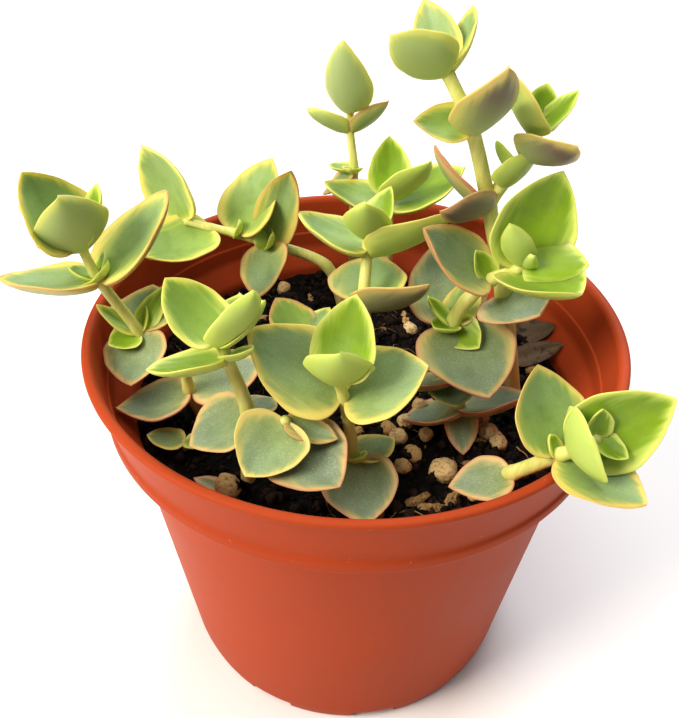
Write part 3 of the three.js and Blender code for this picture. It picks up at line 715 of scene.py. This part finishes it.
def stem_sleeve(nodes, first, thickness, age, seed):
    """A tube along the smooth path. Its radius falls in a straight line from the root to the tip and is
    a seventh larger at each node from `first` on."""
    path, passed = smooth_path(nodes, STEM_STEPS)
    share = passed / (len(nodes) - 1)
    radius = thickness * (STEM_ROOT_RADIUS + (STEM_TIP_RADIUS - STEM_ROOT_RADIUS) * share)
    walked = np.concatenate([[0], np.cumsum(np.linalg.norm(np.diff(path, axis=0), axis=1))])
    at_node = walked[::STEM_STEPS][first:]
    to_node = np.abs(walked[:, None] - at_node[None, :]).min(axis=1)
    radius = radius * (1 + NODE_SWELL * np.exp(-((to_node / NODE_REACH) ** 2)))
    points = tube(path, radius, STEM_COLUMNS)
    around = np.tile(np.arange(STEM_COLUMNS) / STEM_COLUMNS, len(path))
    along, near = (np.repeat(value, STEM_COLUMNS) for value in (walked / 10, to_node))
    blade = np.stack([around, along, near], axis=-1)
    blade = np.vstack([blade, blade[0], blade[-1]])
    habit = np.tile([age, 0.0, thickness], (len(points), 1))
    skin = np.tile([1.0, seed % 97 / 97, 0.0], (len(points), 1))
    return points, *sleeve_faces(len(path), STEM_COLUMNS), {"blade": blade, "habit": habit, "skin": skin}


# %% [markdown]
# Each shoot is one natural piece, its stem and leaves grown together, so it is one mesh with two materials
# and stands in for one CAD node. Every leaf gets its own seed, so no two have the same edge.

# %% The shoots
def sprig(nodes, first, thickness, leaves, seed):
    """The sleeves of one stretch of stem and of the leaves on it."""
    oldest = max(row["age"] for row in leaves)
    sleeves = [stem_sleeve(nodes, first, thickness, oldest, seed)]
    for k, row in enumerate(leaves):
        node = row["node"] + first - 1
        grow = nodes[node] - nodes[node - 1]
        sleeves.append(leaf_sleeve(nodes[node], grow / np.linalg.norm(grow), row, seed * 100 + k))
    return sleeves


FIRST_NODE = 3  # counted with the two that are buried
shoots = []
for k, shoot in enumerate(SHOOTS):
    stem = np.array(shoot["stem"], dtype=float)
    buried = [[*stem[0, :2], SOIL_LEVEL - depth] for depth in (ROOT_DEPTH, ROOT_DEPTH / 8)]
    nodes = np.vstack([buried, stem])
    sleeves = sprig(nodes, FIRST_NODE, shoot["thickness"], shoot["leaves"], k + 1)
    stems = [0]
    if shoot["branch"]:
        start, twig, twig_leaves = shoot["branch"]
        twig = np.vstack([stem[start], twig]).astype(float)
        stems.append(len(sleeves))
        sleeves += sprig(twig, 1, shoot["thickness"] * BRANCH_SHARE, twig_leaves, k + 51)
    points, quads, fans, marks = joined(sleeves)
    is_stem = np.array([n in stems for n in range(len(sleeves))])
    material_of = np.concatenate([
        np.repeat(is_stem, [len(sleeve[1]) for sleeve in sleeves]),
        np.repeat(is_stem, [len(sleeve[2]) for sleeve in sleeves]),
    ])
    piece = new_piece(shoot["name"] + "_fine", points, quads, fans, marks, material_of)
    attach(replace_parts(piece, shoot["name"]), "root")
    shoots.append(piece)

# %% [markdown]
# Perlite is volcanic glass puffed up by heat, so a grain is a pale knobbly ball with pits. Bark comes as
# flat split chips. Both start from the parallels of a globe, pushed in and out by ripples. Most stand where
# the CAD's lumps stand, which a small repeatable draw decides in both. A few more are placed where
# the photograph shows them.

# %% Perlite and bark
GRAIN_COUNT, GRAIN_SMALLEST, GRAIN_LARGEST, GRAIN_RAISED = 26, 0.9, 1.7, 0.25
GRAIN_SHAPE, GRAIN_ROUGH = np.array([1, 0.92, 0.88]), 0.05
CHIP_COUNT, CHIP_SUNK = 12, 0.1
CHIP_SHAPE, CHIP_ROUGH = np.array([2.1, 0.75, 0.55]), 0.12
SEEN_GRAIN_RAISED, SEEN_CHIP_RAISED = 0.45, 0.4  # a share of the size, and mm
STEM_ROOM = 4.5
EDGE_ROOM = 3.0


def draws_from(seed):
    """The CAD's draws: state = state * 1664525 + 1013904223, kept below 2^32 and divided by 2^32."""
    state = seed
    while True:
        state = (state * 1664525 + 1013904223) % 2**32
        yield state / 2**32


draw = draws_from(7)
spread = wall_radius(SOIL_LEVEL - SOIL_CROWN) - CLEARANCE - EDGE_ROOM
roots = np.array([shoot["stem"][0][:2] for shoot in SHOOTS])


def free_spot():
    """A spot on the mix: radius = spread sqrt(draw), drawn again while a stem is within 4.5 mm."""
    while True:
        away, angle = spread * next(draw) ** 0.5, next(draw) * 2 * np.pi
        spot = np.array([away * np.cos(angle), away * np.sin(angle)])
        if np.linalg.norm(roots - spot, axis=1).min() >= STEM_ROOM:
            return spot


grains = []
for _ in range(GRAIN_COUNT):
    spot = free_spot()
    size = GRAIN_SMALLEST + (GRAIN_LARGEST - GRAIN_SMALLEST) * next(draw)
    next(draw)  # the CAD tilts its lump by this draw, and a rough ball needs no tilt
    spin_by = next(draw) * 2 * np.pi
    grains.append([*spot, soil_height(*spot) + size * GRAIN_RAISED, size, spin_by])
chips = []
for _ in range(CHIP_COUNT):
    spot = free_spot()
    next(draw)
    spin_by = next(draw) * 2 * np.pi
    chips.append([*spot, soil_height(*spot) - CHIP_SUNK, 1.0, spin_by])
# x, y and size: the grains and chips seen between the leaves at the front
SEEN_GRAINS = [
    [-18.8, -26.4, 2.2], [14.8, -21.2, 2.3], [22.8, -11.6, 1.7], [22.0, -8.1, 1.6],
    [24.3, -14.6, 1.6], [9.0, -10.6, 1.5], [10.0, -17.7, 1.7], [7.8, -14.3, 1.6],
    [11.7, -6.7, 1.4], [5.6, -8.3, 1.4], [12.4, -13.2, 1.3], [4.2, -29.6, 1.3],
    [19.2, -25.6, 1.2], [6.1, -12.1, 1.4], [8.3, -20.6, 1.5], [5.6, -16.0, 1.3],
]
SEEN_CHIPS = [
    [10.6, -27.3, 1.1], [12.7, -28.9, 1.0], [15.7, -27.2, 1.2], [19.6, -19.4, 0.9], [-22.6, -29.0, 0.9],
]
for x, y, size in SEEN_GRAINS:
    grains.append([x, y, soil_height(x, y) + size * SEEN_GRAIN_RAISED, size, x * 7 + y])
for x, y, size in SEEN_CHIPS:
    chips.append([x, y, soil_height(x, y) + SEEN_CHIP_RAISED, size, x * 5 + y])


def globe(rings, columns):
    """A ball of radius 1: a ring of points on each parallel, then the two poles."""
    v = np.pi * (np.arange(rings) + 0.7) / (rings + 0.4)
    u = np.linspace(0, 2 * np.pi, columns, endpoint=False)
    ball = polar(np.sin(v)[:, None], u, np.cos(v)[:, None])
    return np.vstack([ball.reshape(-1, 3), [[0, 0, 1], [0, 0, -1]]])


def pebble(place, half_sizes, turned, rings, columns, rough, seed):
    """A globe, its radius 1 + rough * ripples of 1.1 and 0.5, stretched and turned about Z."""
    ball = globe(rings, columns)
    swell = 1 + rough * ripple(ball, 1.1, seed) + rough * 0.5 * ripple(ball, 0.5, seed + 1)
    ball = ball * swell[:, None] * half_sizes
    c, s = np.cos(turned), np.sin(turned)
    ball = ball @ np.array([[c, s, 0], [-s, c, 0], [0, 0, 1]])
    quads, fans = sleeve_faces(rings, columns)
    tone = np.random.default_rng(seed).uniform(0, 1, 3)
    return ball + place, quads[:, ::-1], fans[:, ::-1], {"skin": np.tile(tone, (len(ball), 1))}


def loose(name, sleeves):
    """Joins the sleeves into a piece of the mix."""
    points, quads, fans, marks = joined(sleeves)
    piece = new_piece(name, points, quads, fans, marks)
    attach(piece, "root")
    return piece


perlite = loose("perlite_grains", [
    pebble([x, y, z], GRAIN_SHAPE * size, turned, 16, 24, GRAIN_ROUGH, seed=500 + k)
    for k, (x, y, z, size, turned) in enumerate(grains)
])
bark = loose("bark_chips", [
    pebble([x, y, z], CHIP_SHAPE * size, turned, 12, 20, CHIP_ROUGH, seed=700 + k)
    for k, (x, y, z, size, turned) in enumerate(chips)
])

# %% [markdown]
# Peat between them is crumbs of every size. Thousands of tiny lumps with a few dozen faces each do what
# a bump in a material can't: they cast shadows on each other.

# %% Crumbs and fibres
CRUMB_COUNT = 3600
CRUMB_RINGS, CRUMB_COLUMNS = 4, 6
CRUMB_SMALLEST, CRUMB_GROWTH = 0.28, 0.9
CRUMB_ROOM, CRUMB_RAISED = 0.6, 0.25
FIBRE_COUNT = 90
FIBRE_STEPS, FIBRE_COLUMNS = 8, 5
FIBRE_ROOM, FIBRE_LIFT = 4, 0.15

draw = np.random.default_rng(21)
away = (mix_radius - CRUMB_ROOM) * draw.uniform(0, 1, CRUMB_COUNT) ** 0.5
angle = draw.uniform(0, 2 * np.pi, CRUMB_COUNT)
x, y = away * np.cos(angle), away * np.sin(angle)
size = CRUMB_SMALLEST + CRUMB_GROWTH * draw.uniform(0, 1, CRUMB_COUNT) ** 4
z = fine_height(x, y) + CRUMB_RAISED * size
# One small globe, pushed in and out and stretched for every crumb at once
ball = globe(CRUMB_RINGS, CRUMB_COLUMNS)
lumps = ball[None] * draw.uniform(0.65, 1.25, (CRUMB_COUNT, len(ball), 1)) * size[:, None, None]
lumps *= draw.uniform(0.6, 1.3, (CRUMB_COUNT, 1, 3))
lumps += np.stack([x, y, z], axis=-1)[:, None]
quads, fans = sleeve_faces(CRUMB_RINGS, CRUMB_COLUMNS)
step = (np.arange(CRUMB_COUNT) * len(ball))[:, None, None]
quads = (quads[None, :, ::-1] + step).reshape(-1, 4)
fans = (fans[None, :, ::-1] + step).reshape(-1, 3)
tone = np.repeat(draw.uniform(0, 1, (CRUMB_COUNT, 3)), len(ball), axis=0)
crumbs = new_piece("peat_crumbs", lumps.reshape(-1, 3), quads, fans, {"skin": tone})
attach(crumbs, "root")

w = np.linspace(0, 1, FIBRE_STEPS)
fibres = []
for _ in range(FIBRE_COUNT):
    away = (mix_radius - FIBRE_ROOM) * draw.uniform() ** 0.5
    angle = draw.uniform(0, 2 * np.pi)
    start = np.array([away * np.cos(angle), away * np.sin(angle)])
    reach, bend, course = draw.uniform(2, 6), draw.uniform(-0.9, 0.9), draw.uniform(0, 2 * np.pi)
    heading = course + bend * w
    x, y = (start + reach * w[:, None] * np.stack([np.cos(heading), np.sin(heading)], axis=-1)).T
    z = fine_height(x, y) + FIBRE_LIFT + draw.uniform(0, 0.9) * np.sin(np.pi * w)
    trail = np.column_stack([x, y, z])
    points = tube(trail, draw.uniform(0.07, 0.16) * (1 - 0.5 * w), FIBRE_COLUMNS)
    skin = np.tile(draw.uniform(0, 1, 3), (len(points), 1))
    fibres.append((points, *sleeve_faces(FIBRE_STEPS, FIBRE_COLUMNS), {"skin": skin}))
fibre = loose("root_fibres", fibres)

# %% [markdown]
# Old lower leaves of this plant dry up and drop. Three withered ones and one that fell while still reddish
# lie on the mix. They are the same leaf, thinner, rolled and curled, and the withered ones are in a dry
# material.

# %% Fallen leaves
FALLEN = [
    # place of the base, direction that its face looks, then the leaf
    ([29.5, 8.0, 57.6], [0.1, -0.35, 1], leaf(0, 12, 12, 10, width=0.45, age=1, sag=-0.05, curl=0.12)),
    ([30.5, 17.0, 57.8], [0.3, -0.5, 1], leaf(0, -20, 18, 9, width=0.6, age=1, sag=0.1, curl=0.2)),
    ([27.5, 13.0, 57.5], [-0.2, -0.3, 1], leaf(0, 60, 6, 8, width=0.5, age=1, sag=-0.08, curl=0.1)),
]
withered = loose("withered_leaves", [
    leaf_sleeve(np.array(place), np.array(face) / np.linalg.norm(face), row, 900 + k)
    for k, (place, face, row) in enumerate(FALLEN)
])
red_row = leaf(0, 165, 4, 5, width=0.55, age=1, blush=1, under=1)
red_sleeve = leaf_sleeve(np.array([-19.5, -26.5, 57.9]), np.array([0, -0.1, 1.0]), red_row, 950)
red_leaf = loose("fallen_leaf", [red_sleeve])

# %% [markdown]
# The pot is polypropylene coloured through with a terracotta pigment. The plastic is semi-matt from a
# lightly textured mould, so highlights are broad. Handling has left pale scuffs above the bead and on the
# lip, and flecks of peat dust lie all over it. Polypropylene's IOR is about 1.49.

# %% The pot's plastic
SCUFF_HEIGHT = 80.0  # mm, the height that stands for 1 in the stops of the scuffs
material, tree = new_material("terracotta polypropylene, moulded")
mm = place_in_mm(tree)
cloud = noise(tree, mm, 0.05, 4.0)
fleck = noise(tree, mm, 0.9, 5.0, 0.7)
tone = blend(tree, cloud, "#9E3A18", "#AE4522")
level = add_node(tree, "SeparateXYZ", {0: mm}).outputs[2]
collar = by_stops(tree, calc(tree, level, "DIVIDE", SCUFF_HEIGHT), [
    (0.73, "#202020"), (0.75, "#909090"), (0.77, "#FFFFFF"),
    (0.81, "#606060"), (0.87, "#404040"), (0.9, "#A0A0A0"),
])
pale = remap(tree, fleck, 0.66, 0.72, to_high=0.8)
pale = calc(tree, pale, "MULTIPLY", collar)
tone = blend(tree, pale, tone, "#E3B09A")
dust = remap(tree, fleck, 0.36, 0.3, to_high=0.5)
tone = blend(tree, dust, tone, "#7A3A24")
gloss = remap(tree, cloud, 0.3, 0.7, 0.46, 0.56)
close_material(tree, {
    "Base Color": tone, "Roughness": gloss, "IOR": 1.49, "Specular IOR Level": 0.06,
    "Normal": relief(tree, noise(tree, mm, 2.6), 0.3, 0.05),
})
pot.data.materials.clear()
pot.data.materials.append(material)

# %% [markdown]
# Leaf skin is wax over green flesh, and light goes in and comes out again some way off. A variegated leaf
# has cells without green along its margin, so the middle is green, the margin cream or yellow, and the two
# melt into each other over a millimetre or two. A young leaf is bright green and yellow. With age the
# middle turns grey-green and shows a pale bloom of tiny grains, and sun blushes the margin orange and its
# edge red. A mark on the mesh says how far each point is from the edge in mm, so the bands follow every
# outline.

# %% The leaf's skin
def build_leaf_skin(name):
    """The skin's recipe: middle colour by age, streaks, bloom, underside, margin, blush and edge."""
    material, tree = new_material(name)
    mm = place_in_mm(tree)
    across, along, edge = mark(tree, "blade")
    age, blush, under = mark(tree, "habit")
    upper, own, size = mark(tree, "skin")
    # Streaks run from the base to the tip: the noise is stretched along the leaf and differs for each leaf
    shift = calc(tree, own, "MULTIPLY", 41.0)
    fan = calc(tree, across, "MULTIPLY", 2.6)
    lines = add_node(tree, "CombineXYZ", {0: fan, 1: along, 2: shift}).outputs[0]
    streak = noise(tree, lines, 1.7, 3.0, 0.55)
    blotch = noise(tree, mm, 0.3, 3.0, 0.55)
    # The green middle, yellower near the stem
    middle = by_stops(tree, age, [(0.05, "#7A9A10"), (0.3, "#789828"), (0.65, "#8DAA6C"), (1.0, "#75866A")])
    fresh = by_stops(tree, age, [(0.1, "#8AAE28"), (0.6, "#88A23E"), (1.0, "#7F8E4E")])
    tone = blend(tree, remap(tree, along, 0.7, 0.1, to_high=0.85), middle, fresh)
    tone = blend(tree, remap(tree, streak, 0.45, 0.75, to_high=0.12), tone, "#A5B972")
    tone = blend(tree, remap(tree, blotch, 0.52, 0.3, to_high=0.3), tone, "#557538")
    # The bloom of an older leaf: pale grains of about 0.2 mm, denser here and there
    dots = noise(tree, mm, 5.0, 2.0, 0.7)
    dot = remap(tree, dots, 0.45, 0.7, kind="SMOOTHSTEP")
    dot = calc(tree, dot, "MULTIPLY", remap(tree, age, 0.2, 0.9, to_high=0.42))
    dot = calc(tree, dot, "MULTIPLY", remap(tree, blotch, 0.35, 0.6, to_low=0.35))
    tone = blend(tree, dot, tone, "#C0CAAE")
    # The underside: grey-green and matt, pale on the youngest leaves, brown on some old ones
    below = by_stops(tree, age, [(0.05, "#B6CC66"), (0.25, "#AFC364"), (0.5, "#A0B272"), (1.0, "#8B8C66")])
    brown = calc(tree, under, "MULTIPLY", remap(tree, along, 0.15, 0.75))
    below = blend(tree, brown, below, "#6B5850")
    below = blend(tree, calc(tree, dot, "MULTIPLY", 0.5), below, "#A9A48A")
    lower = remap(tree, upper, 0.5, 0.25, kind="SMOOTHSTEP")
    tone = blend(tree, lower, tone, below)
    # How wide the margin is, in mm: it wanders, widens towards the base and grows with the leaf
    wide = remap(tree, noise(tree, lines, 1.9), 0.3, 0.7, 0.5, 1.5)
    wide = calc(tree, wide, "MULTIPLY", remap(tree, along, 0.1, 0.75, 1.7, 0.75))
    wide = calc(tree, wide, "MULTIPLY", remap(tree, size, 0.2, 1.0, 0.35, 1.15))
    third = calc(tree, calc(tree, edge, "DIVIDE", wide), "DIVIDE", 3.0)
    margin = by_stops(tree, age, [(0.05, "#D2DB70"), (0.4, "#E2D86C"), (0.75, "#E6D26C"), (1.0, "#D6BE7C")])
    mixed = by_stops(tree, age, [(0.1, "#A8C440"), (0.6, "#A6B552"), (1.0, "#9C9E62")])
    below_share = remap(tree, lower, 0.0, 1.0, 1.0, 0.45)
    # Two layers of cells: a broad yellow-green band, and the cream margin over its outer half
    for colour, fade in (
        (mixed, [(0.0, "#E0E0E0"), (0.4, "#B4B4B4"), (0.7, "#4C4C4C"), (1.0, "#000000")]),
        (margin, [
            (0.0, "#FFFFFF"), (0.16, "#ECECEC"), (0.32, "#909090"), (0.5, "#2C2C2C"), (0.66, "#000000"),
        ]),
    ):
        share = calc(tree, by_stops(tree, third, fade), "MULTIPLY", below_share)
        tone = blend(tree, share, tone, colour)
    # The blush: an orange wash over the margin, then a red line on the very edge
    wash = remap(tree, edge, 1.5, 0.1, to_high=0.65, kind="SMOOTHSTEP")
    wash = calc(tree, wash, "MULTIPLY", remap(tree, streak, 0.32, 0.62, to_low=0.15))
    tone = blend(tree, calc(tree, wash, "MULTIPLY", blush), tone, "#D09A5E")
    line = remap(tree, edge, 0.45, 0.06, to_high=0.8, kind="SMOOTHSTEP")
    tone = blend(tree, calc(tree, line, "MULTIPLY", blush), tone, "#B4585A")
    # The skin's relief: the same fine grains, and shallow waves along the streaks
    height = add_node(tree, "Mix", {0: 0.3, 2: dots, 3: streak}).outputs[0]
    close_material(tree, {
        "Base Color": tone, "Roughness": remap(tree, age, 0.0, 1.0, 0.4, 0.52), "IOR": 1.42,
        "Specular IOR Level": 0.36, "Normal": relief(tree, height, 0.35, 0.1),
        "Subsurface Weight": 0.4, "Subsurface Radius": (0.9, 1.0, 0.35), "Subsurface Scale": 0.0014,
    })
    return material


leaf_skin = build_leaf_skin("waxy variegated leaf skin")

# %% [markdown]
# The stem is pale yellow-green and a little translucent. It turns tan near the root, where cork begins, and
# a greener ring marks each node.

# %% The stem's skin
CORK_TOP = 68.0
stem_skin, tree = new_material("juicy pale stem skin")
mm = place_in_mm(tree)
to_node = mark(tree, "blade")[2]
stretch = add_node(tree, "Mapping", {"Vector": mm, "Scale": (1.0, 1.0, 0.14)}).outputs[0]
grain = noise(tree, stretch, 1.6, 4.0)
level = add_node(tree, "SeparateXYZ", {0: mm}).outputs[2]
tone = by_stops(tree, grain, [(0.3, "#CFD066"), (0.55, "#DEDC80"), (0.75, "#E8E09C")])
tone = blend(tree, remap(tree, level, CORK_TOP, SOIL_LEVEL, to_high=0.6), tone, "#C9A072")
tone = blend(tree, remap(tree, to_node, 1.6, 0.3, to_high=0.4), tone, "#B8BE5C")
close_material(tree, {
    "Base Color": tone, "Roughness": 0.45, "IOR": 1.42, "Normal": relief(tree, grain, 0.4, 0.15),
    "Subsurface Weight": 0.3, "Subsurface Radius": (1.0, 0.9, 0.4), "Subsurface Scale": 0.0012,
})
for piece in shoots:
    piece.data.materials.append(leaf_skin)
    piece.data.materials.append(stem_skin)
red_leaf.data.materials.append(leaf_skin)

# %% [markdown]
# Everything in the mix is dull and rough. Peat is nearly black where it is wet and brown where it is dry.
# Perlite is white glass foam with peat in its pits. Bark is red-brown with fine fibres. The tone of each
# crumb, grain and chip comes from the mark that its sleeve carries.

# %% The mix's materials
def build_dull(name, dark, light, stain, size, roughness, depth):
    """A dull material: dark to light by noise and by the piece's own tone, with stains in its hollows."""
    material, tree = new_material(name)
    mm = place_in_mm(tree)
    own = mark(tree, "skin")[0]
    share = calc(tree, noise(tree, mm, 1 / size, 5.0, 0.7), "ADD", own)
    tone = blend(tree, remap(tree, share, 0.45, 1.45), dark, light)
    pits = noise(tree, mm, 2.2 / size, 3.0)
    tone = blend(tree, remap(tree, pits, 0.48, 0.34, to_high=0.75), tone, stain)
    close_material(tree, {
        "Base Color": tone, "Roughness": roughness, "Specular IOR Level": 0.15,
        "Normal": relief(tree, pits, 0.8, depth),
    })
    return material


DULL = [
    # piece, name, dark, light and stain colours, lump size in mm, roughness, depth of the relief in mm
    (mix, "moist sphagnum peat", "#060402", "#140D08", "#030201", 1.6, 0.95, 0.5),
    (crumbs, "peat crumbs, part dried", "#080503", "#281B12", "#050302", 1.2, 0.95, 0.3),
    (perlite, "perlite, peat-stained", "#AE8850", "#DCC08A", "#765834", 1.3, 0.9, 0.3),
    (bark, "pine bark, split", "#5A3B22", "#B8935C", "#33200F", 0.8, 0.9, 0.3),
    (fibre, "dry root fibre", "#3E2A1A", "#94744A", "#2C1D12", 1.0, 0.9, 0.1),
    (withered, "withered leaf", "#2E261E", "#64523E", "#1E1812", 3.0, 0.8, 0.25),
]
for piece, *recipe in DULL:
    piece.data.materials.append(build_dull(*recipe))

# %% [markdown]
# The photograph has a plain white ground and soft daylight from the upper left: the pot's left side is
# bright and its right side dark. A broad lamp at the left front stands for that window, and one overhead
# for the open sky above. A third, behind the plant, lights the leaves' backs and shines through their
# edges, a very weak one fills from the right, and a pale sky lights the rest. The floor is a pale sheet.

# %% Floor and light
FLOOR_HALF = 1.5
corners = np.array([[-1, -1], [1, -1], [1, 1], [-1, 1]]) * FLOOR_HALF
ground_mesh = bpy.data.meshes.new("floor")
ground_mesh.from_pydata([(x, y, 0.0) for x, y in corners], [], [(0, 1, 2, 3)])
ground = put_in_scene("floor", ground_mesh)
material, tree = new_material("white studio paper")
close_material(tree, {"Base Color": linear("#F6F5F3"), "Roughness": 0.9})
ground_mesh.materials.append(material)

LAMP_AIM = Vector((0, 0, 0.06))  # in m, on the axis and just above the mix
SKY_STRENGTH = 0.18
LAMPS = [
    # name, place in mm, size in mm, watts, colour
    ("window", (-500, -260, 470), 380, 6.5, "#FFF5E8"),
    ("ceiling", (-40, -60, 720), 520, 2.6, "#FFFBF4"),
    ("fill", (420, -420, 330), 500, 0.03, "#EAF1FF"),
    ("back_sky", (120, 520, 520), 560, 4.2, "#F2F6FF"),
]
for name, place, size, watts, colour in LAMPS:
    light = bpy.data.lights.new(name, "AREA")
    light.shape = "DISK"
    light.size = size * MM
    light.energy = watts
    light.color = linear(colour)[:3]
    lamp = put_in_scene(name, light)
    aim = LAMP_AIM - Vector(place) * MM
    facing = aim.to_track_quat("-Z", "Y").to_matrix().to_4x4()
    lamp.matrix_world = Matrix.Translation(Vector(place) * MM) @ facing
world = bpy.data.worlds.new("pale sky")
world.use_nodes = True
sky = world.node_tree.nodes["Background"]
sky.inputs["Color"].default_value = linear("#F4F7FC")
sky.inputs["Strength"].default_value = SKY_STRENGTH
bpy.context.scene.world = world
bpy.context.scene.view_settings.view_transform = "Standard"
print("lamps:", [name for name, *_ in LAMPS])
